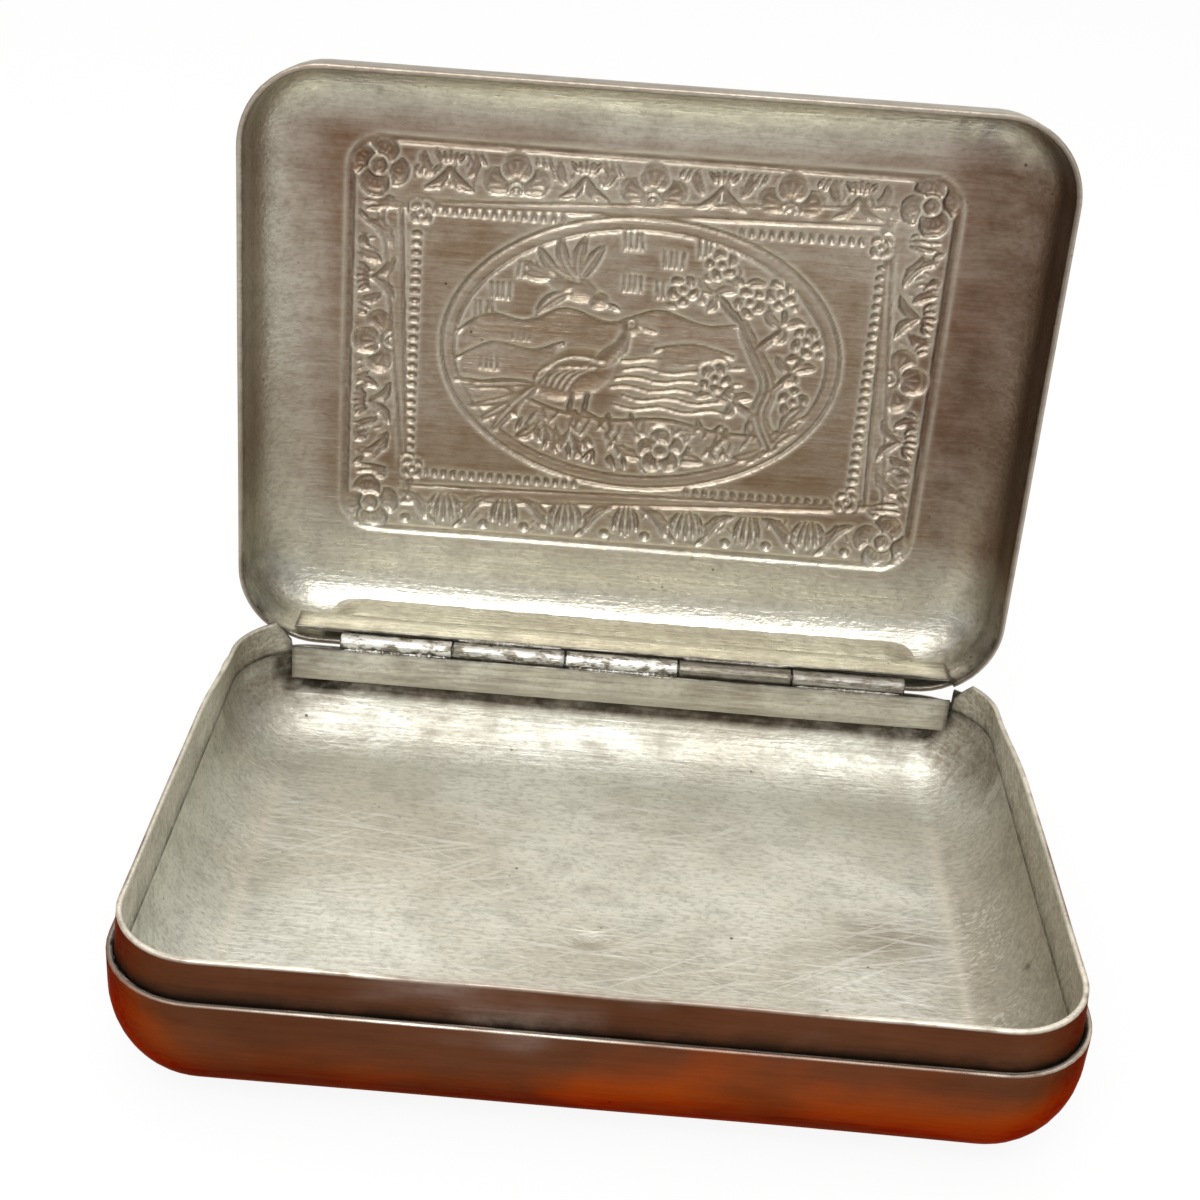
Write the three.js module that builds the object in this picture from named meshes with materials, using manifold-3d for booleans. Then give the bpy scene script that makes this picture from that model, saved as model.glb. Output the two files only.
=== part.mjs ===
// Hinged box of silver sheet: a tray-shaped base with an inner collar, and a lid on a five-knuckle hinge.
// Millimetres, +Z up. X runs along the hinge, -Y is the front. The origin is the centre of the flat foot.
// The lid stands open on its stop.
import * as THREE from 'three';
import { mergeVertices } from 'three/addons/utils/BufferGeometryUtils.js';
import Module from 'manifold-3d';

// Outline of both halves, seen from above
const LENGTH = 100.8;
const DEPTH = 76;
const CORNER_RADIUS = 10.5;
const SHEET = 0.7;

// Base: upright wall below the ledge, height of the rounded edge below that, corner left on the flat foot
const BASE_WALL = 4;
const BASE_EDGE_RISE = 10.8;
const BASE_FOOT_CORNER = 0.7;

// Lid: wall above the rim, height of the rounded edge, corner left on the flat top, and the wall's draw-in
const LID_WALL = 5;
const LID_EDGE_RISE = 6;
const LID_TOP_CORNER = 2.5;
const LID_DRAFT = 0.3;
const LID_SEAT_GAP = 0.15;

// Collar: a band in the base's wall that stands up into the lid's wall, lower round the rear corners
const COLLAR_SHEET = 0.6;
const COLLAR_HEAD_GAP = 0.55;
const COLLAR_FOOT_GAP = 1.5;
const COLLAR_REAR_DROP = 2.3;
const COLLAR_LEAN = 0.4;
const COLLAR_RAMP = 20;
const SOLDER_GAP = 0.12;

// Raised panel of the lid: two rectangular mouldings and an oval one, shifted towards the free edge
const PANEL_SHIFT = 1.7;
const FRAME_END_MARGIN = 4.4;
const FRAME_SIDE_MARGIN = 3.8;
const FRAME_CORNER = 4;
const BORDER_WIDTH = 6.6;
const OVAL_SHIFT = 0.5;
const OVAL_END_MARGIN = 6.4;
const OVAL_SIDE_MARGIN = 2.2;
const MOULDING_WIDTH = 1.2;
const MOULDING_WALL = 0.25;
const MOULDING_HEIGHT = 0.45;

// Hinge: five knuckles in a row on one pin, base and lid in turn, a little right of the middle
const HINGE_SHIFT = 1;
const HINGE_END_MARGIN = 6.7;
const KNUCKLE_COUNT = 5;
const KNUCKLE_RADIUS = 1.2;
const KNUCKLE_GAP = 0.2;
const KNUCKLE_FLUSH = 0.05;
const PIN_RADIUS = 0.65;
const PIN_CLEARANCE = 0.1;
const PIN_PROUD = 0.2;
const PIN_CHAMFER = 0.15;
const AXIS_DROP = 0.6;
const OPEN_ANGLE = THREE.MathUtils.degToRad(93.4);
const STOP_GAP = 0.08;
const WALL_CUT_CLEARANCE = 0.25;

// Bearers: the bars that carry the knuckles, trimmed to the rear corners
const STRIP_END_MARGIN = 0.4;
const STRIP_HEIGHT = 4.8;
const STRIP_THICKNESS = 0.8;
const STRIP_OFFSET = 1.6;
const STRIP_EDGE = 0.45;
const STRIP_CLEARANCE = 0.3;
const STRIP_END_GAP = 0.15;
const COLLAR_END_SLOPE = 1.9;

// Facets, the distance at which points are one, and the overshoot of a cut
const CORNER_STEPS = 8;
const EDGE_STEPS = 8;
const FRAME_STEPS = 4;
const OVAL_STEPS = 16;
const ROUND_STEPS = 32;
const WELD = 1e-4;
const MARGIN = 1;

// Places that follow from the sizes above
const BASE_HEIGHT = BASE_EDGE_RISE + BASE_WALL;
const LID_HEIGHT = LID_EDGE_RISE + LID_WALL;
const BASE_EDGE_RUN = CORNER_RADIUS - BASE_FOOT_CORNER;
const LID_EDGE_RUN = CORNER_RADIUS - LID_TOP_CORNER;
const BASE_TRAY = { height: BASE_HEIGHT, edgeRun: BASE_EDGE_RUN, edgeRise: BASE_EDGE_RISE, draft: 0 };
const LID_TRAY = { height: LID_HEIGHT, edgeRun: LID_EDGE_RUN, edgeRise: LID_EDGE_RISE, draft: LID_DRAFT };
const RIM_Z = BASE_HEIGHT + LID_SEAT_GAP;
const COLLAR_TOP = RIM_Z + LID_WALL - COLLAR_HEAD_GAP;
const COLLAR_REAR_TOP = COLLAR_TOP - COLLAR_REAR_DROP;
const COLLAR_BOTTOM = BASE_EDGE_RISE + COLLAR_FOOT_GAP;
const FRAME_LENGTH = LENGTH - 2 * (LID_EDGE_RUN + FRAME_END_MARGIN);
const FRAME_DEPTH = DEPTH - 2 * (LID_EDGE_RUN + FRAME_SIDE_MARGIN);
const AXIS_INSET = KNUCKLE_RADIUS + KNUCKLE_FLUSH;
const AXIS_Y = DEPTH / 2 - AXIS_INSET;
const AXIS_Z = BASE_HEIGHT - AXIS_DROP;
const CORNER_X = LENGTH / 2 - CORNER_RADIUS;
const CORNER_Y = DEPTH / 2 - CORNER_RADIUS;
// The rear walls are cut back to where the open lid's wall just reaches the base's wall
const WALL_CUT_HEIGHT = AXIS_INSET * Math.tan(OPEN_ANGLE / 2) + STOP_GAP;
// and as far along as the outline lies behind the hinge axis
const WALL_CUT_REACH = Math.sqrt(CORNER_RADIUS ** 2 - (AXIS_Y - CORNER_Y) ** 2);
const WALL_CUT_HALF = CORNER_X + WALL_CUT_REACH + WALL_CUT_CLEARANCE;
// The bearers and the row of knuckles lie within that cut
const STRIP_HALF = WALL_CUT_HALF - HINGE_SHIFT - STRIP_END_MARGIN;
const HINGE_HALF = WALL_CUT_HALF - HINGE_SHIFT - HINGE_END_MARGIN;
const KNUCKLE_PITCH = (2 * HINGE_HALF + KNUCKLE_GAP) / KNUCKLE_COUNT;
const BORE_RADIUS = PIN_RADIUS + PIN_CLEARANCE;

const wasm = await Module();
wasm.setup();

function solidOf(geometry) {
  const plain = geometry.clone();
  plain.deleteAttribute('normal');
  plain.deleteAttribute('uv');
  const merged = mergeVertices(plain, WELD);
  return new wasm.Manifold(new wasm.Mesh({
    numProp: 3,
    vertProperties: new Float32Array(merged.attributes.position.array),
    triVerts: new Uint32Array(merged.index.array),
  }));
}

function geometryOf(solid) {
  const mesh = solid.getMesh();
  const geometry = new THREE.BufferGeometry();
  geometry.setAttribute('position', new THREE.BufferAttribute(new Float32Array(mesh.vertProperties), 3));
  geometry.setIndex(new THREE.BufferAttribute(new Uint32Array(mesh.triVerts), 1));
  geometry.computeVertexNormals();
  return geometry;
}

function boxFrom(low, high) {
  const size = high.clone().sub(low);
  const box = new THREE.BoxGeometry(size.x, size.y, size.z);
  const middle = low.clone().add(high).multiplyScalar(0.5);
  return box.translate(middle.x, middle.y, middle.z);
}

// One ring of points round the outline, at a height, drawn in from the outline by an inset
function outlineRing(inset, z) {
  const radius = CORNER_RADIUS - inset;
  const ring = [];
  [[1, 1], [-1, 1], [-1, -1], [1, -1]].forEach(([sideX, sideY], corner) => {
    for (let step = 0; step <= CORNER_STEPS; step += 1) {
      const angle = (corner + step / CORNER_STEPS) * Math.PI / 2;
      const x = sideX * CORNER_X + radius * Math.cos(angle);
      ring.push(new THREE.Vector3(x, sideY * CORNER_Y + radius * Math.sin(angle), z));
    }
  });
  return ring;
}

// Skin between rings of equal count; a closed band joins the last ring to the first, a shell gets two caps
function skin(rings, closedBand) {
  const count = rings[0].length;
  const points = rings.flat();
  const index = [];
  const spans = closedBand ? rings.length : rings.length - 1;
  for (let row = 0; row < spans; row += 1) {
    const low = row * count;
    const high = ((row + 1) % rings.length) * count;
    for (let step = 0; step < count; step += 1) {
      const next = (step + 1) % count;
      index.push(low + step, low + next, high + next);
      index.push(low + step, high + next, high + step);
    }
  }
  if (!closedBand) {
    const last = (rings.length - 1) * count;
    const firstCentre = points.push(new THREE.Vector3(0, 0, rings[0][0].z)) - 1;
    const lastCentre = points.push(new THREE.Vector3(0, 0, rings.at(-1)[0].z)) - 1;
    for (let step = 0; step < count; step += 1) {
      const next = (step + 1) % count;
      index.push(firstCentre, next, step);
      index.push(lastCentre, last + step, last + next);
    }
  }
  const geometry = new THREE.BufferGeometry().setFromPoints(points);
  geometry.setIndex(index);
  geometry.computeVertexNormals();
  return geometry;
}

// Rings of a tray's surface at a depth in from its outside: flat face, rounded edge, wall out to the rim
function trayRings({ height, edgeRun, edgeRise, draft }, depth) {
  const rings = [];
  for (let step = 0; step <= EDGE_STEPS; step += 1) {
    const turn = step / EDGE_STEPS * Math.PI / 2;
    const inset = draft + depth + (edgeRun - draft - depth) * (1 - Math.sin(turn));
    rings.push(outlineRing(inset, depth + (edgeRise - depth) * (1 - Math.cos(turn))));
  }
  rings.push(outlineRing(depth, height));
  return rings;
}

// A tray of sheet metal on its flat face
function trayShell(tray) {
  return skin([...trayRings(tray, 0), ...trayRings(tray, SHEET).reverse()], false);
}

// The room inside a tray, clear of its sheet, taken a little above the rim
function trayRoom(tray) {
  const depth = SHEET + STRIP_END_GAP;
  return skin([...trayRings(tray, depth), outlineRing(depth, tray.height + MARGIN)], false);
}

// From a tray on its flat face to the lid as it lies when shut, with its rear still at the rear
function asShutLid(geometry) {
  return geometry.rotateY(Math.PI).translate(0, 0, RIM_Z + LID_HEIGHT);
}

// An outline in the YZ plane, drawn out along X and centred there
function alongX(shape, length) {
  const settings = { depth: length, bevelEnabled: false, curveSegments: EDGE_STEPS };
  const geometry = new THREE.ExtrudeGeometry(shape, settings);
  const axes = [new THREE.Vector3(0, 1, 0), new THREE.Vector3(0, 0, 1), new THREE.Vector3(1, 0, 0)];
  return geometry.translate(0, 0, -length / 2).applyMatrix4(new THREE.Matrix4().makeBasis(...axes));
}

// The slot in a rear wall that the hinge lies in, from one height to another
function rearWallCut(lowZ, highZ) {
  const low = new THREE.Vector3(-WALL_CUT_HALF, CORNER_Y, lowZ);
  return boxFrom(low, new THREE.Vector3(WALL_CUT_HALF, DEPTH / 2 + MARGIN, highZ));
}

function basePan() {
  const cut = rearWallCut(AXIS_Z - WALL_CUT_HEIGHT, BASE_HEIGHT + MARGIN);
  return geometryOf(solidOf(trayShell(BASE_TRAY)).subtract(solidOf(cut)));
}

// The collar's rear opening, which the base's bearer fills, with ends that slope outwards
function collarOpening() {
  const half = STRIP_HALF + STRIP_END_GAP;
  const stripTop = AXIS_Z - STRIP_EDGE;
  const shape = new THREE.Shape();
  shape.moveTo(-half, COLLAR_BOTTOM - MARGIN);
  shape.lineTo(half, COLLAR_BOTTOM - MARGIN);
  shape.lineTo(half, stripTop);
  shape.lineTo(half + COLLAR_END_SLOPE, COLLAR_REAR_TOP);
  shape.lineTo(half + COLLAR_END_SLOPE, COLLAR_TOP + MARGIN);
  shape.lineTo(-half - COLLAR_END_SLOPE, COLLAR_TOP + MARGIN);
  shape.lineTo(-half - COLLAR_END_SLOPE, COLLAR_REAR_TOP);
  shape.lineTo(-half, stripTop);
  const geometry = new THREE.ExtrudeGeometry(shape, { depth: CORNER_RADIUS, bevelEnabled: false });
  return geometry.rotateX(Math.PI / 2).translate(HINGE_SHIFT, DEPTH / 2 + MARGIN, 0);
}

// What is taken off the collar's top edge, on a smooth ramp down to the rear corners
function collarRelief() {
  const start = CORNER_Y - COLLAR_RAMP;
  const middle = CORNER_Y - COLLAR_RAMP / 2;
  const shape = new THREE.Shape();
  shape.moveTo(start, COLLAR_TOP);
  shape.bezierCurveTo(middle, COLLAR_TOP, middle, COLLAR_REAR_TOP, CORNER_Y, COLLAR_REAR_TOP);
  shape.lineTo(DEPTH / 2 + MARGIN, COLLAR_REAR_TOP);
  shape.lineTo(DEPTH / 2 + MARGIN, COLLAR_TOP + MARGIN);
  shape.lineTo(start, COLLAR_TOP + MARGIN);
  return alongX(shape, LENGTH + MARGIN);
}

function baseCollar() {
  const foot = SHEET + SOLDER_GAP;
  const head = foot + COLLAR_LEAN;
  const band = skin([
    outlineRing(foot, COLLAR_BOTTOM),
    outlineRing(foot, BASE_HEIGHT),
    outlineRing(head, COLLAR_TOP),
    outlineRing(head + COLLAR_SHEET, COLLAR_TOP),
    outlineRing(foot + COLLAR_SHEET, BASE_HEIGHT),
    outlineRing(foot + COLLAR_SHEET, COLLAR_BOTTOM),
  ], true);
  return geometryOf(solidOf(band).subtract(solidOf(collarOpening())).subtract(solidOf(collarRelief())));
}

// Bearer beside the hinge axis, below it (side -1) or above it (side 1), hollowed for the knuckles
function hingeStrip(side, room) {
  const hollow = KNUCKLE_RADIUS + STRIP_CLEARANCE;
  const back = STRIP_OFFSET - STRIP_THICKNESS;
  const backAngle = Math.PI - Math.acos(back / hollow);
  const frontAngle = Math.PI - Math.asin(STRIP_EDGE / hollow);
  const shape = new THREE.Shape();
  shape.moveTo(-STRIP_OFFSET, side * STRIP_EDGE);
  shape.lineTo(-STRIP_OFFSET, side * (STRIP_EDGE + STRIP_HEIGHT));
  shape.lineTo(-back, side * (STRIP_EDGE + STRIP_HEIGHT));
  shape.absarc(0, 0, hollow, side * backAngle, side * frontAngle, side < 0);
  const bar = alongX(shape, 2 * STRIP_HALF).translate(HINGE_SHIFT, 0, 0);
  return geometryOf(solidOf(bar).intersect(solidOf(room.translate(0, -AXIS_Y, -AXIS_Z))));
}

// Hinge tube along X, centred on the hinge axis
function knuckle() {
  const half = (KNUCKLE_PITCH - KNUCKLE_GAP) / 2;
  const profile = [
    new THREE.Vector2(BORE_RADIUS, -half),
    new THREE.Vector2(KNUCKLE_RADIUS, -half),
    new THREE.Vector2(KNUCKLE_RADIUS, half),
    new THREE.Vector2(BORE_RADIUS, half),
    new THREE.Vector2(BORE_RADIUS, -half),
  ];
  return new THREE.LatheGeometry(profile, ROUND_STEPS).rotateZ(-Math.PI / 2);
}

function hingePin() {
  const half = HINGE_HALF + PIN_PROUD;
  const profile = [
    new THREE.Vector2(0, -half),
    new THREE.Vector2(PIN_RADIUS - PIN_CHAMFER, -half),
    new THREE.Vector2(PIN_RADIUS, -half + PIN_CHAMFER),
    new THREE.Vector2(PIN_RADIUS, half - PIN_CHAMFER),
    new THREE.Vector2(PIN_RADIUS - PIN_CHAMFER, half),
    new THREE.Vector2(0, half),
  ];
  return new THREE.LatheGeometry(profile, ROUND_STEPS).rotateZ(-Math.PI / 2).translate(HINGE_SHIFT, 0, 0);
}

function roundedRectangle(length, depth, radius) {
  const x = length / 2 - radius;
  const y = depth / 2 - radius;
  const path = new THREE.Shape();
  path.absarc(x, y, radius, 0, Math.PI / 2, false);
  path.absarc(-x, y, radius, Math.PI / 2, Math.PI, false);
  path.absarc(-x, -y, radius, Math.PI, 1.5 * Math.PI, false);
  path.absarc(x, -y, radius, 1.5 * Math.PI, 2 * Math.PI, false);
  return path;
}

function oval(length, depth) {
  return new THREE.Shape().absellipse(0, 0, length / 2, depth / 2, 0, 2 * Math.PI, false, 0);
}

// The panel's three mouldings as solid rings of a width; an outline grows by a length from its middle line
function mouldings(width, lowZ, highZ) {
  const innerLength = FRAME_LENGTH - 2 * BORDER_WIDTH;
  const innerDepth = FRAME_DEPTH - 2 * BORDER_WIDTH;
  const ovalLength = innerLength - 2 * OVAL_END_MARGIN;
  const ovalDepth = innerDepth - 2 * OVAL_SIDE_MARGIN;
  const frame = (grow) => roundedRectangle(FRAME_LENGTH + grow, FRAME_DEPTH + grow, FRAME_CORNER);
  const innerFrame = (grow) => roundedRectangle(innerLength + grow, innerDepth + grow, FRAME_CORNER);
  const medallion = (grow) => oval(ovalLength + grow, ovalDepth + grow);
  const outlines = [
    { at: frame, steps: FRAME_STEPS, shift: PANEL_SHIFT },
    { at: innerFrame, steps: FRAME_STEPS, shift: PANEL_SHIFT },
    { at: medallion, steps: OVAL_STEPS, shift: PANEL_SHIFT + OVAL_SHIFT },
  ];
  return outlines.map(({ at, steps, shift }) => {
    const ring = at(width);
    ring.holes.push(at(-width));
    const settings = { depth: highZ - lowZ, bevelEnabled: false, curveSegments: steps };
    return new THREE.ExtrudeGeometry(ring, settings).translate(0, -shift, lowZ);
  });
}

// Lid as it lies when shut: the tray turned over, its rear wall cut for the hinge, its panel raised
function lidShell() {
  const topZ = RIM_Z + LID_HEIGHT;
  let lid = solidOf(asShutLid(trayShell(LID_TRAY)));
  lid = lid.subtract(solidOf(rearWallCut(RIM_Z - MARGIN, AXIS_Z + WALL_CUT_HEIGHT)));
  const insideZ = topZ - SHEET;
  for (const ridge of mouldings(MOULDING_WIDTH, insideZ + SHEET / 2, topZ + MOULDING_HEIGHT)) {
    lid = lid.add(solidOf(ridge));
  }
  const grooveWidth = MOULDING_WIDTH - 2 * MOULDING_WALL;
  for (const groove of mouldings(grooveWidth, insideZ - MARGIN, insideZ + MOULDING_HEIGHT)) {
    lid = lid.subtract(solidOf(groove));
  }
  return geometryOf(lid).translate(0, -AXIS_Y, -AXIS_Z);
}

const silver = { color: 0xb8b09f, roughness: 0.34, metalness: 1 };
const lidSilver = { color: 0xa3937d, roughness: 0.38, metalness: 1 };
const hingeSilver = { color: 0x9b9384, roughness: 0.42, metalness: 1 };
const pinMetal = { color: 0x7c766c, roughness: 0.4, metalness: 1 };

function named(name, geometry, finish) {
  const mesh = new THREE.Mesh(geometry, new THREE.MeshStandardMaterial(finish));
  mesh.name = name;
  return mesh;
}

const box = new THREE.Group();
box.add(named('base_pan', basePan(), silver));
box.add(named('base_collar', baseCollar(), silver));

const fixedHinge = new THREE.Group();
fixedHinge.position.set(0, AXIS_Y, AXIS_Z);
fixedHinge.add(named('base_hinge_strip', hingeStrip(-1, trayRoom(BASE_TRAY)), hingeSilver));
fixedHinge.add(named('hinge_pin', hingePin(), pinMetal));
box.add(fixedHinge);

const lid = new THREE.Group();
lid.position.set(0, AXIS_Y, AXIS_Z);
lid.rotation.x = -OPEN_ANGLE;
lid.add(named('lid_shell', lidShell(), lidSilver));
lid.add(named('lid_hinge_strip', hingeStrip(1, asShutLid(trayRoom(LID_TRAY))), hingeSilver));
box.add(lid);

const row = [
  ['base_knuckle_left', fixedHinge],
  ['lid_knuckle_left', lid],
  ['base_knuckle_centre', fixedHinge],
  ['lid_knuckle_right', lid],
  ['base_knuckle_right', fixedHinge],
];
row.forEach(([name, group], place) => {
  const tube = named(name, knuckle(), hingeSilver);
  tube.position.x = HINGE_SHIFT + (place - (KNUCKLE_COUNT - 1) / 2) * KNUCKLE_PITCH;
  group.add(tube);
});

export default box;
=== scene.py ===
"""Looks of a hinged silver box: worn sheet silver with a pressed panel in its lid, standing open."""

import math

import bpy
import numpy as np
from mathutils import Matrix


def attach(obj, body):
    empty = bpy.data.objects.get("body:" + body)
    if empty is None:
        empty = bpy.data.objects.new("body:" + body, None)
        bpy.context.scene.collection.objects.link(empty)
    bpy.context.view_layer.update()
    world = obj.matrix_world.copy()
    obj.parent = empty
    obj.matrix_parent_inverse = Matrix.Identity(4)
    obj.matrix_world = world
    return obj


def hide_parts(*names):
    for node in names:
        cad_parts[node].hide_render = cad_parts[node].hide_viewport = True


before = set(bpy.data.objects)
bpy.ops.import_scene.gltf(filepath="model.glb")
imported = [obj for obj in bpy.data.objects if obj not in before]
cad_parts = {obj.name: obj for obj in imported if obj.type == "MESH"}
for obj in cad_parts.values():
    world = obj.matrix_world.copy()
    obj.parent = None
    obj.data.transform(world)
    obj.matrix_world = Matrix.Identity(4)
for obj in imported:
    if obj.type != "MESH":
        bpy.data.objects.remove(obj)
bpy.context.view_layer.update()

MM = 0.001

# Sizes of the part's source, in millimetres
LENGTH, DEPTH, CORNER_RADIUS, SHEET = 100.8, 76.0, 10.5, 0.7
CORNER_X, CORNER_Y = LENGTH / 2 - CORNER_RADIUS, DEPTH / 2 - CORNER_RADIUS
BASE = {"height": 14.8, "run": 9.8, "rise": 10.8, "draft": 0.0}
LID = {"height": 11.0, "run": 8.0, "rise": 6.0, "draft": 0.3}
RIM_Z = BASE["height"] + 0.15
LID_TOP = RIM_Z + LID["height"]
COLLAR_TOP, COLLAR_REAR_TOP, COLLAR_BOTTOM, COLLAR_SHEET = 19.4, 17.1, 12.3, 0.6
COLLAR_FOOT, COLLAR_HEAD = 0.82, 1.22
COLLAR_RAMP, COLLAR_SLOPE, COLLAR_SQUARE = 20.0, 1.9, 13.75
AXIS_Y, AXIS_Z = 36.75, 14.2
OPEN_ANGLE = math.radians(93.4)
WALL_CUT_HEIGHT, WALL_CUT_HALF = 1.407, 45.12
HINGE_SHIFT, STRIP_HALF = 1.0, 43.72
STRIP_FRONT, STRIP_BACK, STRIP_EDGE, STRIP_HEIGHT, STRIP_HOLLOW = 1.6, 0.8, 0.45, 4.8, 1.5
KNUCKLE_RADIUS, BORE_RADIUS, KNUCKLE_PITCH, KNUCKLE_LENGTH = 1.2, 0.75, 15.0075, 14.81
PIN_RADIUS, PIN_HALF = 0.65, 37.62
PANEL_SHIFT = 1.7
FRAME_HALF = (38.0, 26.2)
INNER_HALF = (31.4, 19.6)
OVAL_HALF, OVAL_RISE = (25.0, 17.4), 0.5


def smooth(value, low, high):
    """Smooth step from 0 at low to 1 at high."""
    t = np.clip((value - low) / (high - low), 0, 1)
    return t * t * (3 - 2 * t)


def waves(points, seed, amount, length):
    """Slow unevenness of hand-made sheet, as a shift of each point."""
    rng = np.random.default_rng(seed)
    shift = np.zeros_like(points)
    for _ in range(8):
        along = rng.normal(size=3)
        along /= np.linalg.norm(along)
        turns = points @ along / (length * (0.5 + rng.random())) + rng.random()
        shift += np.sin(2 * math.pi * turns)[:, None] * rng.normal(size=3)
    return shift * amount / 4


# The pressed panel


class Relief:
    """Height of the pressed panel over lines of u to the right and v upwards, as seen inside the lid."""

    def __init__(self, u_lines, v_lines):
        self.u, self.v = u_lines, v_lines
        self.height = np.zeros((len(u_lines), len(v_lines)))

    def window(self, points, margin):
        low = np.min(points, axis=0) - margin
        high = np.max(points, axis=0) + margin
        i = slice(*np.searchsorted(self.u, (low[0], high[0])))
        j = slice(*np.searchsorted(self.v, (low[1], high[1])))
        u, v = np.meshgrid(self.u[i], self.v[j], indexing="ij")
        return (i, j), u, v

    def along(self, points, margin):
        """Distance to a line of points, and how far along it the nearest point lies."""
        points = np.asarray(points, float)
        where, u, v = self.window(points, margin)
        best, place = np.full(u.shape, 1e6), np.zeros(u.shape)
        spans = len(points) - 1
        for k in range(spans):
            a, step = points[k], points[k + 1] - points[k]
            t = ((u - a[0]) * step[0] + (v - a[1]) * step[1]) / max(step @ step, 1e-9)
            t = np.clip(t, 0, 1)
            gap = np.hypot(u - a[0] - t * step[0], v - a[1] - t * step[1])
            nearer = gap < best
            best = np.where(nearer, gap, best)
            place = np.where(nearer, (k + t) / spans, place)
        return where, best, place

    def lift(self, where, shape):
        self.height[where] = np.maximum(self.height[where], shape)

    def cut(self, where, shape):
        self.height[where] = np.maximum(self.height[where] - shape, -0.12)

    def stroke(self, points, width, height, end_width=None):
        where, gap, place = self.along(points, width)
        half = width / 2
        if end_width is not None:
            half = half + (end_width / 2 - half) * place
        self.lift(where, height * np.clip(1 - (gap / half) ** 2, 0, 1) ** 0.8)

    def engrave(self, points, width, depth):
        where, gap, _ = self.along(points, width)
        self.cut(where, depth * np.clip(1 - (gap / (width / 2)) ** 2, 0, 1))

    def band(self, points, width, height):
        """Flat raised band along a line."""
        where, gap, _ = self.along(points, width)
        self.lift(where, height * (1 - smooth(gap, width / 2 - 0.2, width / 2 + 0.15)))

    def dome(self, centre, half, height, angle=0.0, round_edge=0.75):
        where, u, v = self.window([centre], max(half))
        c, s = math.cos(angle), math.sin(angle)
        a = ((u - centre[0]) * c + (v - centre[1]) * s) / half[0]
        b = ((v - centre[1]) * c - (u - centre[0]) * s) / half[1]
        self.lift(where, height * np.clip(1 - a * a - b * b, 0, 1) ** round_edge)

    def petal(self, centre, half, height, angle):
        """Dome with a groove round it that cuts into what lies behind."""
        self.engrave(circle(centre, 1.08 * max(half)), 0.5, 0.4)
        self.dome(centre, half, height, angle, 0.5)

    def terrace(self, points, fade, height):
        """Rounded ground that falls away below a line."""
        where, u, v = self.window(points, fade)
        drop = np.interp(u, points[:, 0], points[:, 1]) - v
        first, last = points[0, 0], points[-1, 0]
        ends = smooth(u, first - 0.1, first + 1.5) * (1 - smooth(u, last - 1.5, last))
        shape = np.where(drop > 0, np.clip(1 - drop / fade, 0, 1), np.clip(1 + drop / 0.5, 0, 1))
        self.lift(where, height * ends * shape)

    def leaf(self, start, end, width, bend, height, vein=True):
        points = bowed(start, end, bend)
        where, gap, place = self.along(points, width)
        half = np.maximum(width / 2 * np.sin(math.pi * np.clip(place, 0.02, 0.98)) ** 0.7, 0.05)
        self.lift(where, height * np.clip(1 - (gap / half) ** 2, 0, 1) ** 0.5)
        if vein:
            self.engrave(points, 0.36, height * 0.5)

    def flower(self, centre, radius, petals, angle, height):
        centre = np.asarray(centre, float)
        wide = radius * (0.52 if petals < 5 else 0.42)
        for k in range(petals):
            turn = angle + 2 * math.pi * k / petals
            out = np.array([math.cos(turn), math.sin(turn)])
            self.petal(centre + out * radius * 0.6, (radius * 0.46, wide), height, turn)
        for k in range(petals):
            turn = angle + 2 * math.pi * k / petals
            for spread in (-0.28, 0.0, 0.28):
                out = np.array([math.cos(turn + spread), math.sin(turn + spread)])
                self.engrave([centre + out * radius * 0.4, centre + out * radius * 0.7], 0.34, height * 0.22)
            middle = centre + radius * 0.6 * np.array([math.cos(turn), math.sin(turn)])
            self.engrave(circle(middle, radius * 0.34, turn - 1.1, 2.2), 0.3, height * 0.2)
        self.engrave(circle(centre, radius * 0.34), 0.55, height)
        self.dome(centre, (radius * 0.28, radius * 0.28), height * 0.9)
        self.engrave(circle(centre, 0.01), radius * 0.26, height * 0.4)


def bowed(start, end, bend):
    """Points on a bow from start to end; bend is its rise to the left."""
    start, end = np.asarray(start, float), np.asarray(end, float)
    side = np.array([start[1] - end[1], end[0] - start[0]])
    side /= max(np.linalg.norm(side), 1e-9)
    t = np.linspace(0, 1, 9)[:, None]
    return start + (end - start) * t + side * bend * np.sin(math.pi * t)


def flowing(points, steps=6):
    """Smooth line through points."""
    points = np.asarray(points, float)
    ends = np.concatenate([[2 * points[0] - points[1]], points, [2 * points[-1] - points[-2]]])
    t = np.linspace(0, 1, steps, endpoint=False)[:, None]
    spans = []
    for a, b, c, d in zip(ends, ends[1:], ends[2:], ends[3:]):
        curve = 2 * b + (c - a) * t + (2 * a - 5 * b + 4 * c - d) * t**2 + (3 * b - a - 3 * c + d) * t**3
        spans.append(curve / 2)
    return np.concatenate([*spans, points[-1:]])


def circle(centre, radius, start=0.0, sweep=2 * math.pi):
    turns = start + np.linspace(0, sweep, 33)
    return np.stack([centre[0] + radius * np.cos(turns), centre[1] + radius * np.sin(turns)], 1)


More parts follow.
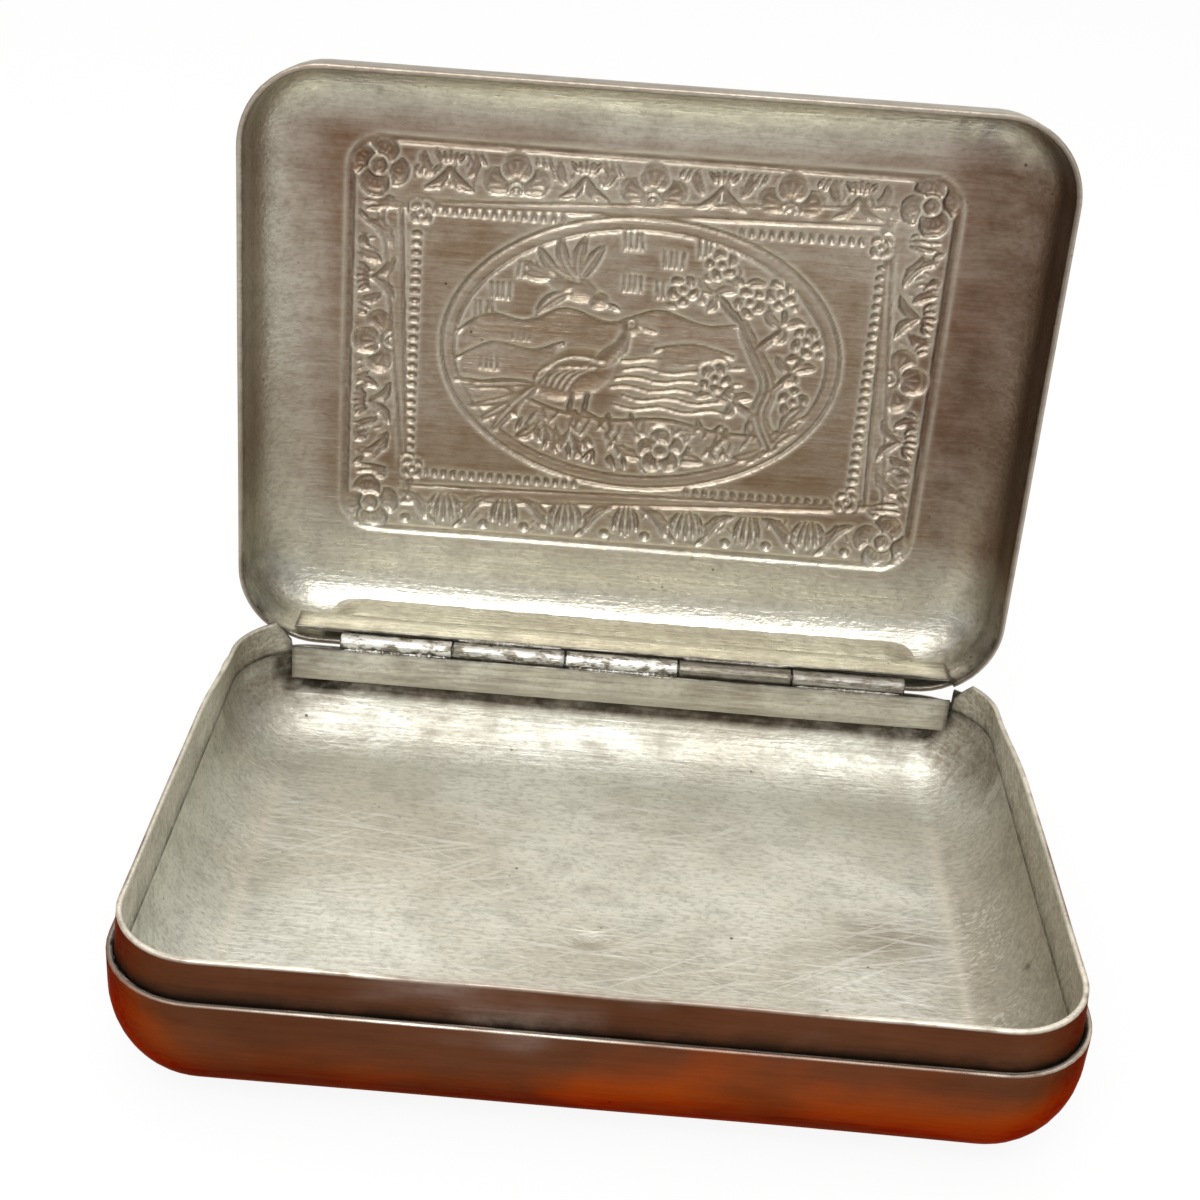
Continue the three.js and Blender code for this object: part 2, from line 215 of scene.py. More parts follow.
def rounded_frame(half, radius, scoop=False):
    """Closed line round a frame, with rounded corners or scooped ones."""
    points = []
    for k, (su, sv) in enumerate([(1, 1), (-1, 1), (-1, -1), (1, -1)]):
        inset = 0.0 if scoop else radius
        centre = (su * (half[0] - inset), sv * (half[1] - inset))
        turns = k * math.pi / 2 + np.linspace(0, math.pi / 2, 9)
        if scoop:
            turns = (k + 1.5) * math.pi / 2 + math.pi / 4 - np.linspace(0, math.pi / 2, 9) + math.pi / 4
        for turn in turns:
            points.append((centre[0] + radius * math.cos(turn), centre[1] + radius * math.sin(turn)))
    points.append(points[0])
    return np.array(points)


def press_frames(relief):
    """Outer frame, inner frame with its row of beads, and the oval."""
    relief.stroke(rounded_frame(FRAME_HALF, 4.0), 1.2, 0.27)
    relief.band(rounded_frame(INNER_HALF, 2.0, scoop=True), 1.5, 0.16)
    for grow in (-0.7, 0.7):
        line = rounded_frame((INNER_HALF[0] + grow, INNER_HALF[1] + grow), 2.0 + grow, scoop=True)
        relief.stroke(line, 0.62, 0.32)
    step = 1.25
    half = (INNER_HALF[0] - 1.9, INNER_HALF[1] - 1.9)
    row_u = np.arange(-half[0] + 2.2, half[0] - 2, step)
    row_v = np.arange(-half[1] + 2.2, half[1] - 2, step)
    for side in (-1, 1):
        for u in row_u:
            if (u / 26.4) ** 2 + ((side * half[1] - OVAL_RISE) / 18.8) ** 2 > 1:
                relief.dome((u, side * half[1]), (0.46, 0.72), 0.36)
        for v in row_v:
            relief.dome((side * half[0], v), (0.78, 0.48), 0.44)
        for end in (-1, 1):
            relief.flower((side * (half[0] - 0.5), end * (half[1] - 0.5)), 1.5, 4, 0.78, 0.34)
    turns = np.linspace(0, 2 * math.pi, 121)
    for grow, width, height in ((0.0, 1.9, 0.2), (0.72, 0.75, 0.4), (-0.76, 0.62, 0.34)):
        line = np.stack([(OVAL_HALF[0] + grow) * np.cos(turns),
                         OVAL_RISE + (OVAL_HALF[1] + grow) * np.sin(turns)], 1)
        if grow:
            relief.stroke(line, width, height)
        else:
            relief.band(line, width, height)


class Side:
    """One side of the border: s runs along it and t outwards from its middle line."""

    def __init__(self, relief, along, outward, middle):
        self.relief = relief
        self.along, self.outward = np.array(along, float), np.array(outward, float)
        self.middle = middle

    def at(self, s, t):
        return self.along * s + self.outward * (self.middle + t)

    def line(self, *places):
        return np.array([self.at(s, t) for s, t in places])

    def blossom(self, s, size=1.0):
        """Three petals spread over a half ring that stands on the inner frame."""
        turn = math.atan2(self.outward[1], self.outward[0])
        spreads = (-1.15, 1.15, 0.0)
        for spread in spreads:
            reach = (2.5 + 0.4 * math.cos(spread)) * size
            centre = self.at(s + reach * math.sin(spread), reach * math.cos(spread) - 2.0)
            self.relief.petal(centre, (1.9 * size, 1.8 * size), 0.52, turn - spread)
        for spread in spreads:
            for fan in (-0.35, 0.0, 0.35):
                ends = []
                for reach, lean in ((1.5 * size, 0.5 * fan), (3.3 * size, fan)):
                    ends.append((s + reach * math.sin(spread + lean), reach * math.cos(spread + lean) - 2.0))
                self.relief.engrave(self.line(*ends), 0.34, 0.13)
            arc = []
            for lean in np.linspace(-0.5, 0.5, 9):
                reach = (4.1 - 1.6 * lean * lean) * size
                arc.append((s + reach * math.sin(spread + lean), reach * math.cos(spread + lean) - 2.0))
            self.relief.engrave(self.line(*arc), 0.3, 0.12)
        for radius in (0.6, 1.3):
            turns = np.linspace(-1.5, 1.5, 13)
            arc = [(s + radius * math.sin(a), radius * math.cos(a) - 2.35) for a in turns]
            self.relief.stroke(self.line(*arc), 0.5, 0.46)

    def bow(self):
        """Sign that makes a leaf's bend the same way round on every side."""
        return math.copysign(1.0, self.along[0] * self.outward[1] - self.along[1] * self.outward[0])

    def leaf(self, start, end, width, bend, height, vein=True):
        self.relief.leaf(self.at(*start), self.at(*end), width, bend, height, vein)

    def peak(self, s, size=1.0):
        """A hollow-sided point on the inner frame under a tuft of short blades."""
        for way in (-1, 1):
            bow = way * self.bow()
            self.leaf((s + way * 3.2 * size, -2.5), (s, 0.4), 1.25, 0.6 * bow, 0.46, vein=False)
            self.leaf((s + way * 1.3, -2.5), (s, -0.5), 0.7, 0.1, 0.34, vein=False)
            self.leaf((s + way * 2.2 * size, -0.9), (s + way * 3.3 * size, 2.2), 1.2, -0.4 * bow, 0.42)
        for k in range(-2, 3):
            self.leaf((s + k * 0.5, 0.7), (s + k, 2.5 - 0.2 * abs(k)), 0.72, 0.1 * k, 0.44, vein=False)

    def curl(self, s, way, size=1.0):
        """A curled leaf with a smaller one beside it and a bud."""
        bow, step = way * self.bow(), way * size
        self.leaf((s - 2.5 * step, -2.3), (s + 1.5 * step, 1.6), 1.6 * size, -bow, 0.5)
        self.leaf((s + 0.1 * step, -2.4), (s + 2.6 * step, -0.2), 1.3 * size, 0.7 * bow, 0.44)
        self.relief.dome(self.at(s - 1.5 * step, 1.6), (0.75, 0.75), 0.42)
        self.leaf((s + 1.7 * step, 1.0), (s + 3.0 * step, 2.3), 0.8, 0.2, 0.36, vein=False)

    def hatch(self, s, low, way, count):
        """Short slanting blades side by side."""
        for k in range(count):
            foot = s + 0.8 * (k - count / 2)
            self.leaf((foot, low), (foot + way * 0.8, low + 1.7), 0.6, 0.15, 0.38, vein=False)

    def tuft(self, s, blades):
        """Blades that fan out from the inner frame."""
        for k in range(blades):
            lean = k - (blades - 1) / 2
            top = (s + lean * 1.05, 1.7 - 0.35 * abs(lean))
            self.leaf((s + lean * 0.5, -2.3), top, 0.8, 0.12 * lean, 0.46, vein=False)


def press_border(relief):
    """Flowers, leaves and tufts between the two frames."""
    middle_u = (FRAME_HALF[0] + INNER_HALF[0]) / 2
    middle_v = (FRAME_HALF[1] + INNER_HALF[1]) / 2
    top = Side(relief, (1, 0), (0, 1), middle_v)
    bottom = Side(relief, (1, 0), (0, -1), middle_v)
    left = Side(relief, (0, 1), (-1, 0), middle_u)
    right = Side(relief, (0, 1), (1, 0), middle_u)
    rng = np.random.default_rng(12)
    for _ in range(260):
        s, t = rng.uniform(-30, 30), rng.uniform(-2.5, 1.4)
        side = (top, bottom, left, right)[rng.integers(4)]
        if side in (left, right):
            s *= 0.6
        end = side.at(s + rng.uniform(-0.6, 0.6), t + rng.uniform(0.8, 1.4))
        relief.leaf(side.at(s, t), end, 0.5, 0.1, 0.2, vein=False)
    for s in (-21.4, -12.9, -4.3, 4.3, 12.9, 21.4):
        top.hatch(s, 0.7, math.copysign(1, s), 3)
    for s in (-28.6, 28.6):
        top.hatch(s, -1.2, -math.copysign(1, s), 4)
    for side in (left, right):
        for s in (-4.6, 4.6, -11.8, 11.8):
            side.hatch(s, 0.4, math.copysign(1, s), 3)
    for s in (-17.2, 0.0, 17.2):
        top.blossom(s)
    for s in (-25.6, -8.6, 8.6, 25.6):
        top.peak(s)
    for k, s in enumerate((-24.6, -16.4, -8.2, 0.0, 8.2, 16.4, 24.6)):
        bottom.tuft(s, 5 - k % 2)
    for k, s in enumerate((-28.4, -20.5, -12.3, -4.1, 4.1, 12.3, 20.5, 28.4)):
        bottom.curl(s, -1 if k % 2 else 1, 0.9)
    for side in (left, right):
        side.blossom(0.0)
        for s in (-8.4, 8.4):
            side.peak(s, 0.9)
        for s in (-14.4, 14.4):
            side.curl(s, math.copysign(1, s), 0.9)
        for s in (-18.2, 18.2):
            side.tuft(s, 3)
    for su in (-1, 1):
        for sv in (-1, 1):
            relief.flower((su * (middle_u - 0.2), sv * (middle_v - 0.2)), 3.7, 4, 0.25 * su * sv, 0.55)


def press_picture(relief):
    """A blossoming tree, two birds and hills inside the oval."""
    rng = np.random.default_rng(7)
    hills = (
        [(-24, 2.0), (-20, 4.6), (-15, 4.0), (-10, 6.0), (-4, 4.6), (2, 6.6), (8, 5.0), (13, 5.6)],
        [(-24, -1.6), (-19, 0.9), (-14, 0.2), (-10, 1.6)],
        [(2, 1.6), (7, 2.6), (12, 1.4)],
    )
    for hill in map(flowing, hills):
        relief.terrace(hill, 4.2, 0.4)
        relief.stroke(hill, 0.6, 0.46)
    for row in range(6):
        start, end = -2.5 + rng.uniform(-1, 1), 13 + rng.uniform(-2, 1)
        u = np.linspace(start, end, 11)
        relief.stroke(np.stack([u, 0.2 - 1.3 * row + 0.3 * np.sin(u * 0.9 + row)], 1), 0.55, 0.26)
    grass = (
        (-19.6, 7.0), (-16.4, 10.0), (-3.0, 14.6), (2.2, 12.6), (-2.8, 9.2),
        (1.6, 8.6), (-21.6, 4.4), (6.4, 14.2), (-20.6, -2.6), (-16.6, 1.6),
    )
    for cu, cv in grass:
        for k in range(4):
            lean = rng.uniform(-0.2, 0.2)
            relief.stroke([(cu + 0.72 * k, cv), (cu + 0.72 * k + lean, cv + 2.0)], 0.5, 0.34)
    bank = [(-24, -4.4), (-18, -5.0), (-11, -7.6), (-4, -8.6), (4, -8.0), (11, -9.2), (18, -8.8), (22, -6.0)]
    bank = flowing(bank)
    relief.terrace(bank, 5.0, 0.34)
    relief.stroke(bank, 0.9, 0.46)
    for _ in range(170):
        cu, cv = rng.uniform(-19, 18), rng.uniform(-16.5, -8.8)
        if (cu / 23.0) ** 2 + ((cv - OVAL_RISE) / 16.0) ** 2 < 1:
            lean = rng.uniform(-1.6, 1.6)
            relief.leaf((cu, cv), (cu + lean, cv + rng.uniform(1.2, 2.4)), 0.75, 0.1, 0.46, vein=False)
    press_tree(relief)
    press_birds(relief)
    leaves = (
        ((2.2, -13.2), (-2.6, -11.6)), ((5.4, -13.6), (9.6, -13.4)), ((2.8, -10.8), (-0.2, -9.0)),
        ((5.0, -10.8), (8.0, -9.4)), ((-12.8, -9.4), (-15.6, -11.8)), ((-12.0, -9.6), (-10.6, -13.0)),
    )
    for start, end in leaves:
        relief.leaf(start, end, 1.8, 0.5, 0.46)
    relief.flower((3.8, -12.2), 3.0, 5, 0.4, 0.55)


def press_tree(relief):
    """A trunk with boughs, leaves and blossoms."""
    trunk = flowing([(18.2, -11.0), (16.2, -6.5), (17.0, -2.0), (14.6, 2.6), (12.0, 7.0)])
    relief.stroke(trunk, 3.2, 0.55, 1.7)
    for shift in (-0.6, 0.35):
        relief.engrave(trunk + (shift, 0), 0.4, 0.2)
    boughs = (
        [(16.6, -3.6), (20.0, 0.0), (21.4, 3.6)],
        [(14.6, 2.4), (18.0, 5.8), (17.4, 9.6)],
        [(12.2, 6.6), (8.8, 9.4), (5.6, 9.6)],
        [(12.0, 6.8), (12.4, 10.6), (9.8, 13.4)],
        [(16.2, -6.6), (12.4, -4.6), (10.4, -2.2)],
    )
    for bough in boughs:
        relief.stroke(flowing(bough), 1.4, 0.48, 0.7)
        for k in (1, 2):
            a = np.array(bough[k], float)
            for lean in (-1.0, 0.2, 1.2):
                end = a + (3.0 * math.sin(lean * 2.0 + k), 2.4 * math.cos(lean * 1.4 + k))
                relief.leaf(a, end, 1.4, 0.4, 0.42)
    blossoms = ((21.2, 4.2), (17.2, 10.2), (4.8, 9.8), (9.4, 13.4), (10.0, -1.6), (13.4, 8.8), (20.4, -4.0))
    for centre in blossoms:
        relief.flower(centre, 2.05, 5, centre[0], 0.5)
    leaves = (
        ((18.4, -10.6), (21.6, -8.0)), ((17.2, -10.8), (13.2, -12.4)),
        ((19.2, -8.2), (22.2, -4.6)), ((17.0, -11.4), (14.6, -14.2)),
    )
    for start, end in leaves:
        relief.leaf(start, end, 1.9, 0.5, 0.46)


def press_birds(relief):
    """Two birds: strokes and domes, with feathers cut in."""
    # A long-tailed bird on the bank
    for k, end in enumerate(((-22.4, -8.0), (-21.4, -10.4), (-23.0, -5.4), (-19.2, -12.0))):
        relief.leaf((-12.6, -4.2), end, 1.9, 0.7 - 0.4 * k, 0.5)
    relief.dome((-8.6, -2.4), (5.6, 3.5), 0.6, 0.36)
    relief.stroke([(-5.2, -0.8), (-2.6, 1.6), (-2.0, 3.6)], 2.9, 0.55, 1.7)
    relief.dome((-1.6, 4.4), (1.8, 1.45), 0.55, 0.3)
    relief.leaf((-0.3, 4.6), (2.0, 3.9), 0.9, 0.0, 0.46, vein=False)
    relief.engrave(circle((-1.4, 4.7), 0.36), 0.32, 0.36)
    relief.engrave(bowed((-4.6, -1.0), (-13.2, -4.0), -1.9), 0.5, 0.3)
    for k in range(6):
        start, end = (-5.6 - 1.1 * k, -1.6 - 0.1 * k), (-9.2 - 0.8 * k, -4.9 + 0.2 * k)
        relief.engrave(bowed(start, end, -0.6), 0.4, 0.2)
    for u in (-8.4, -6.4):
        relief.stroke([(u, -5.2), (u - 0.3, -7.6), (u + 1.1, -8.2)], 0.75, 0.44)
    # A smaller bird on the wing
    relief.dome((-9.2, 9.2), (3.6, 1.8), 0.55, -0.35)
    relief.dome((-5.8, 7.6), (1.4, 1.2), 0.5)
    relief.leaf((-4.8, 7.3), (-3.0, 6.6), 0.7, 0.0, 0.42, vein=False)
    for end, bend in (((-14.0, 14.2), 1.0), ((-11.2, 15.6), 0.8), ((-8.0, 15.8), 0.5), ((-5.6, 14.8), 0.2)):
        relief.leaf((-8.6, 9.8), end, 1.8, bend, 0.5)
    for end in ((-16.2, 12.2), (-16.0, 10.6)):
        relief.leaf((-11.8, 10.2), end, 1.3, 0.2, 0.42)
    relief.leaf((-9.4, 8.4), (-13.8, 5.0), 1.9, -0.6, 0.46)


def pressed_panel(x_lines, y_lines):
    """Height of the pressed panel at each crossing of the lid's lines."""
    relief = Relief(x_lines, -(y_lines[::-1] + PANEL_SHIFT))
    press_picture(relief)
    inside = (relief.u[:, None] / OVAL_HALF[0]) ** 2 + ((relief.v - OVAL_RISE) / OVAL_HALF[1]) ** 2 < 1
    relief.height = np.where(inside, relief.height, 0)
    press_border(relief)
    press_frames(relief)
    return 1.3 * (0.5 * relief.height + 0.5 * softened(relief.height, 1))[:, ::-1]


def softened(grid, reach):
    """Mean over the neighbours on a grid, reach steps to each side."""
    for axis in (0, 1):
        total = np.zeros_like(grid)
        for step in range(-reach, reach + 1):
            total += np.roll(grid, step, axis)
        grid = total / (2 * reach + 1)
    return grid


# Trays of sheet silver


CORNER_S = (0.17, 0.34, 0.52, 0.70, 0.706, 0.85, 1.0)


def grid_lines(half, radius, spacing, steps):
    """Even lines across the flat middle, then lines at the steps of a corner."""
    core = np.linspace(-half, half, int(round(2 * half / spacing)) + 1)
    outer = half + radius * np.array(steps)
    return np.concatenate([-outer[::-1], core, outer])


class Tray:
    """Closed quad skin of a sheet-metal tray, in x, y and the depth from its flat outside face."""

    def __init__(self, sizes, spacing, corner_t, edge_steps, rear_top):
        self.sizes = sizes
        radius = CORNER_RADIUS - sizes["run"]
        self.x_lines = grid_lines(CORNER_X, radius, spacing, CORNER_S)
        self.y_lines = grid_lines(CORNER_Y, radius, spacing, corner_t)
        x, y = np.meshgrid(self.x_lines, self.y_lines, indexing="ij")
        s = np.clip((np.abs(x) - CORNER_X) / radius, 0, 1)
        t = np.clip((np.abs(y) - CORNER_Y) / radius, 0, 1)
        core_x, core_y = np.clip(x, -CORNER_X, CORNER_X), np.clip(y, -CORNER_Y, CORNER_Y)
        self.x = core_x + np.sign(x) * radius * s * np.sqrt(1 - t * t / 2)
        self.y = core_y + np.sign(y) * radius * t * np.sqrt(1 - s * s / 2)
        nx, ny = x.shape
        loop = [(i, 0) for i in range(nx)] + [(nx - 1, j) for j in range(1, ny)]
        loop += [(i, ny - 1) for i in range(nx - 2, -1, -1)] + [(0, j) for j in range(ny - 2, 0, -1)]
        self.loop = tuple(np.array(loop).T)
        self.foot = np.stack([core_x[self.loop], core_y[self.loop]], 1)
        rim = np.stack([self.x[self.loop], self.y[self.loop]], 1)
        self.out = (rim - self.foot) / np.linalg.norm(rim - self.foot, axis=1)[:, None]
        outline = self.foot + self.out * CORNER_RADIUS
        cut = (outline[:, 1] > CORNER_Y) & (np.abs(outline[:, 0]) < WALL_CUT_HALF)
        self.top = np.where(cut, rear_top, sizes["height"])
        self.build(edge_steps)

    def ring(self, inset, depth):
        """Points drawn in from the outline by an inset, at a depth, both single or one for each column."""
        inset = np.broadcast_to(inset, len(self.out))
        place = self.foot + self.out * (CORNER_RADIUS - inset)[:, None]
        return np.column_stack([place, np.broadcast_to(depth, len(self.out))])

    def surface(self, sheet, edge_steps, rim):
        """Rings from the panel's edge to just below the rim, at a depth in from the outside."""
        size = self.sizes
        rings = []
        for step in range(1, edge_steps + 1):
            turn = step / edge_steps * math.pi / 2
            inset = size["draft"] + sheet + (size["run"] - size["draft"] - sheet) * (1 - math.sin(turn))
            rings.append(self.ring(inset, sheet + (size["rise"] - sheet) * (1 - math.cos(turn))))
        for part in (0.25, 0.5, 0.75, 1.0):
            depth = size["rise"] + part * (self.top - rim - size["rise"])
            lean = size["draft"] * (1 - (depth - size["rise"]) / (size["height"] - size["rise"]))
            rings.append(self.ring(lean + sheet, depth))
        return rings

    def build(self, edge_steps):
        rim = 0.24
        outer, inner = self.surface(0, edge_steps, rim), self.surface(SHEET, edge_steps, rim)
        rings = list(outer)
        for turn in (0.5, 1.05, math.pi / 2):
            rings.append(self.ring(rim * (1 - math.cos(turn)), self.top - rim + rim * math.sin(turn)))
        for turn in (math.pi / 2, 1.05, 0.5):
            rings.append(self.ring(SHEET - rim * (1 - math.cos(turn)), self.top - rim + rim * math.sin(turn)))
        rings += inner[::-1]
        nx, ny = self.x.shape
        count, panel = len(self.out), nx * ny
        flat = np.stack([self.x.ravel(), self.y.ravel(), np.zeros(panel)], 1)
        self.points = np.concatenate([flat, *rings, flat + (0, 0, SHEET)])
        first_inner = panel + len(rings) * count
        number = np.arange(panel).reshape(nx, ny)
        edge = number[self.loop]
        skins = [panel + k * count + np.arange(count) for k in range(len(rings))]
        rows = [edge, *skins, first_inner + edge]
        quads = [quad_grid(number[:, ::-1]), quad_grid(first_inner + number)]
        for low, high in zip(rows[:-1], rows[1:]):
            quads.append(np.stack([low, np.roll(low, -1), np.roll(high, -1), high], 1))
        self.quads = np.concatenate(quads)
        self.inside = np.zeros(len(self.points))
        self.inside[panel + (len(outer) + 3) * count:] = 1
        self.rim = np.zeros(len(self.points))
        for k in range(len(outer), len(outer) + 6):
            self.rim[panel + k * count: panel + (k + 1) * count] = 1
        self.panel = (slice(0, panel), slice(first_inner, first_inner + panel))


def quad_grid(number):
    """Quads of a grid of point numbers, facing up where both directions rise."""
    a, b, c, d = number[:-1, :-1], number[1:, :-1], number[1:, 1:], number[:-1, 1:]
    return np.stack([a.ravel(), b.ravel(), c.ravel(), d.ravel()], 1)


def ring_quads(number):
    """Quads between neighbouring rings of point numbers, each ring closed on itself."""
    return quad_grid(np.concatenate([number, number[:, :1]], axis=1))


def end_quads(number):
    """Quads across the first and last ring of a bar, from one half of the ring to the other."""
    count = number.shape[1]
    low = np.arange(count // 2 - 1)
    fold = np.stack([low, low + 1, count - 2 - low, count - 1 - low], 1)
    return np.concatenate([number[0][fold], number[-1][fold][:, ::-1]])


def fan_quads(ring, middle, way=1):
    """Quads from a ring of point numbers to a middle point, turned over if way is -1."""
    first = np.arange(0, len(ring), 2)
    rim = np.stack([ring[first], ring[first + 1], ring[(first + 2) % len(ring)]], 1)
    return np.column_stack([np.full(len(first), middle), rim[:, ::way]])


def opened(points):
    """From the lid's place when shut to its place standing open, at rest."""
    y, z = points[:, 1] - AXIS_Y, points[:, 2] - AXIS_Z
    c, s = math.cos(OPEN_ANGLE), math.sin(OPEN_ANGLE)
    return np.stack([points[:, 0], AXIS_Y + y * c + z * s, AXIS_Z - y * s + z * c], 1)


def make_piece(name, points, quads, body, slot, material, replaces=(), **weights):
    """Mesh piece in the row frame, from points in millimetres, with named weights on its points."""
    mesh = bpy.data.meshes.new(name)
    mesh.from_pydata((points * MM).tolist(), [], quads.tolist())
    mesh.validate()
    mesh.shade_smooth()
    for key in ("tarnish", "toning", "grime", "wear", "residue", "scuff", "buff"):
        values = np.broadcast_to(weights.get(key, 0.0), len(points)).astype(np.float32)
        mesh.attributes.new(key, "FLOAT", "POINT").data.foreach_set("value", np.clip(values, 0, 1))
    mesh.materials.append(material)
    piece = bpy.data.objects.new(name, mesh)
    bpy.context.scene.collection.objects.link(piece)
    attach(piece, body)
    if replaces:
        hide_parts(*replaces)
    return piece


def spot(points, centre, radius):
    """Round weight that fades from 1 at a centre to 0 at about twice the radius."""
    gap = ((points - centre) ** 2).sum(1)
    return np.exp(-gap / radius**2)


def line_weight(gap, width):
    """Weight that fades from 1 on a line to 0 at about twice the width."""
    return np.exp(-((gap / width) ** 2))


def uneven_gleam(points, seed, length, least):
    """Weight between least and 1 that comes and goes along a worn edge."""
    return least + (1 - least) * smooth(waves(points, seed, 1.0, length)[:, 0], -0.5, 0.5)


def front_share(y):
    """Share of warm toning and painted orange reflection, from 0 at the back to 1 at the front."""
    return smooth(-y, -34, 31)


# Marks on the base's floor, in x drawn in by the stretch: place, radius and strength
MARK_STRETCH = (0.7, 1)
DENT_PLACE = (-0.4, -4.7)
FLOOR_STAINS = (
    ((-0.7, 4.9), 1.5, 0.4), (DENT_PLACE, 1.2, 0.5), ((10.2, -10.8), 0.9, 0.5),
    ((24, 0), 4.2, 0.9), ((-28, 14), 5, 0.12), ((5, 16), 7, 0.1),
)
# Specks of dirt on the base's right wall: place and radius
WALL_DIRT = (
    ((48.6, -9.4, 6.2), 0.6), ((49.6, -9.2, 11.7), 0.7),
    ((49.6, -11.4, 11.7), 0.9), ((49.6, -13.8, 11.7), 0.7),
)


def make_base_pan(material):
    tray = Tray(BASE, 0.65, CORNER_S, 16, AXIS_Z - WALL_CUT_HEIGHT)
    depth, inside = tray.points[:, 2], tray.inside
    marks = tray.points[:, :2] * MARK_STRETCH
    shift = waves(tray.points, 3, 0.07, 46)
    floor_shift = np.abs(waves(tray.points, 5, 0.12, 30)[:, 2])
    shift[:, 2] = np.where(depth < 1.5, floor_shift, shift[:, 2]) * (depth < 12)
    points = tray.points + shift
    points[:, 2] -= 0.6 * spot(marks, DENT_PLACE, 1.3) * (depth > 0.5) * (depth < 1)
    x, y, wall = points[:, 0], points[:, 1], smooth(depth, 2, 9)
    # Stains on the right wall, at the rear and on the floor; darker in the rear corners; painted shade with
    # some dirt under the bearer
    reach_x, reach_y = np.clip(np.abs(x) - 36, 0, None), np.clip(y - 24, 0, None)
    corner = smooth(np.hypot(reach_x, reach_y), 9, 13) * (reach_x > 0) * (reach_y > 0)
    # Painted shade with some dirt in the line just under the bearer
    under = smooth(y, 35.5, 36.2) * smooth(depth, 6.0, 7.0)
    tarnish = 0.62 * smooth(x, 41.8, 44) * (0.75 + 0.25 * wall) + 0.34 * smooth(y, 28, 33) * (depth < 9)
    tarnish = tarnish + 0.5 * corner * wall + 0.8 * under + 0.12 * spot(points[:, :2], (-46, 4), 9)
    for centre, radius, strength in FLOOR_STAINS:
        tarnish = tarnish + strength * spot(marks, centre, radius)
    # Dirt along the collar's foot, darker towards the far ends and corners, and painted shade with some dirt
    # under the bearer and on the rim's inner half
    grime = (0.7 + 0.3 * smooth(x, 38, 46)) * smooth(depth, 11.4, 12.4)
    grime = grime + 0.25 * smooth(np.hypot(x, y), 48, 54) * wall + 0.85 * under + 0.5 * tray.rim
    for centre, radius in WALL_DIRT:
        grime = grime + 0.9 * spot(tray.points, centre, radius)
    # Wear on the rim's outer half, and painted highlight lines along the floor's creases
    crease = line_weight(np.abs(x) - 42.4, 0.5) * (np.abs(y) < 24)
    crease = crease + line_weight(y + 28.0, 0.45) * (np.abs(x) < 39)
    rim_wear = 0.85 * uneven_gleam(points, 8, 40, 0.3) * tray.rim
    wear = rim_wear * (1 - inside) + 0.5 * inside * crease * (depth < 1.4)
    # Warm toning outside with a painted reflection of an orange surface below, strongest low on the front
    toning = 0.42 + 0.58 * front_share(y) * (0.4 + 0.6 * smooth(depth, 0.1, 1.2))
    toning = (1 - inside) * toning * (1 - 0.22 * smooth(depth, 7.5, 15))
    make_piece("base_pan_sheet", points, tray.quads, "base", "silver_base", material, ["base_pan"],
               tarnish=inside * tarnish, toning=toning, grime=inside * grime, wear=wear,
               scuff=inside * (1 - smooth(depth, 2.5, 7)), buff=0.55 * inside)


LID_SPACING = 0.2
# Dings in the lid's front edge: place, radius and depth
LID_DINGS = (
    ((39, -34, 2.4), 1.6, 0.35), ((43, -33, 3.0), 1.3, 0.4), ((36, -35, 2.6), 1.2, 0.25),
    ((46.5, -29, 3.2), 1.6, 0.35), ((-44, -26, 2.6), 2.0, 0.2),
)
LID_DIRT = ((-42, -29.7, 1.4), (-34.5, -33.5, 2.0), (-42.5, 15.5, 1.6))


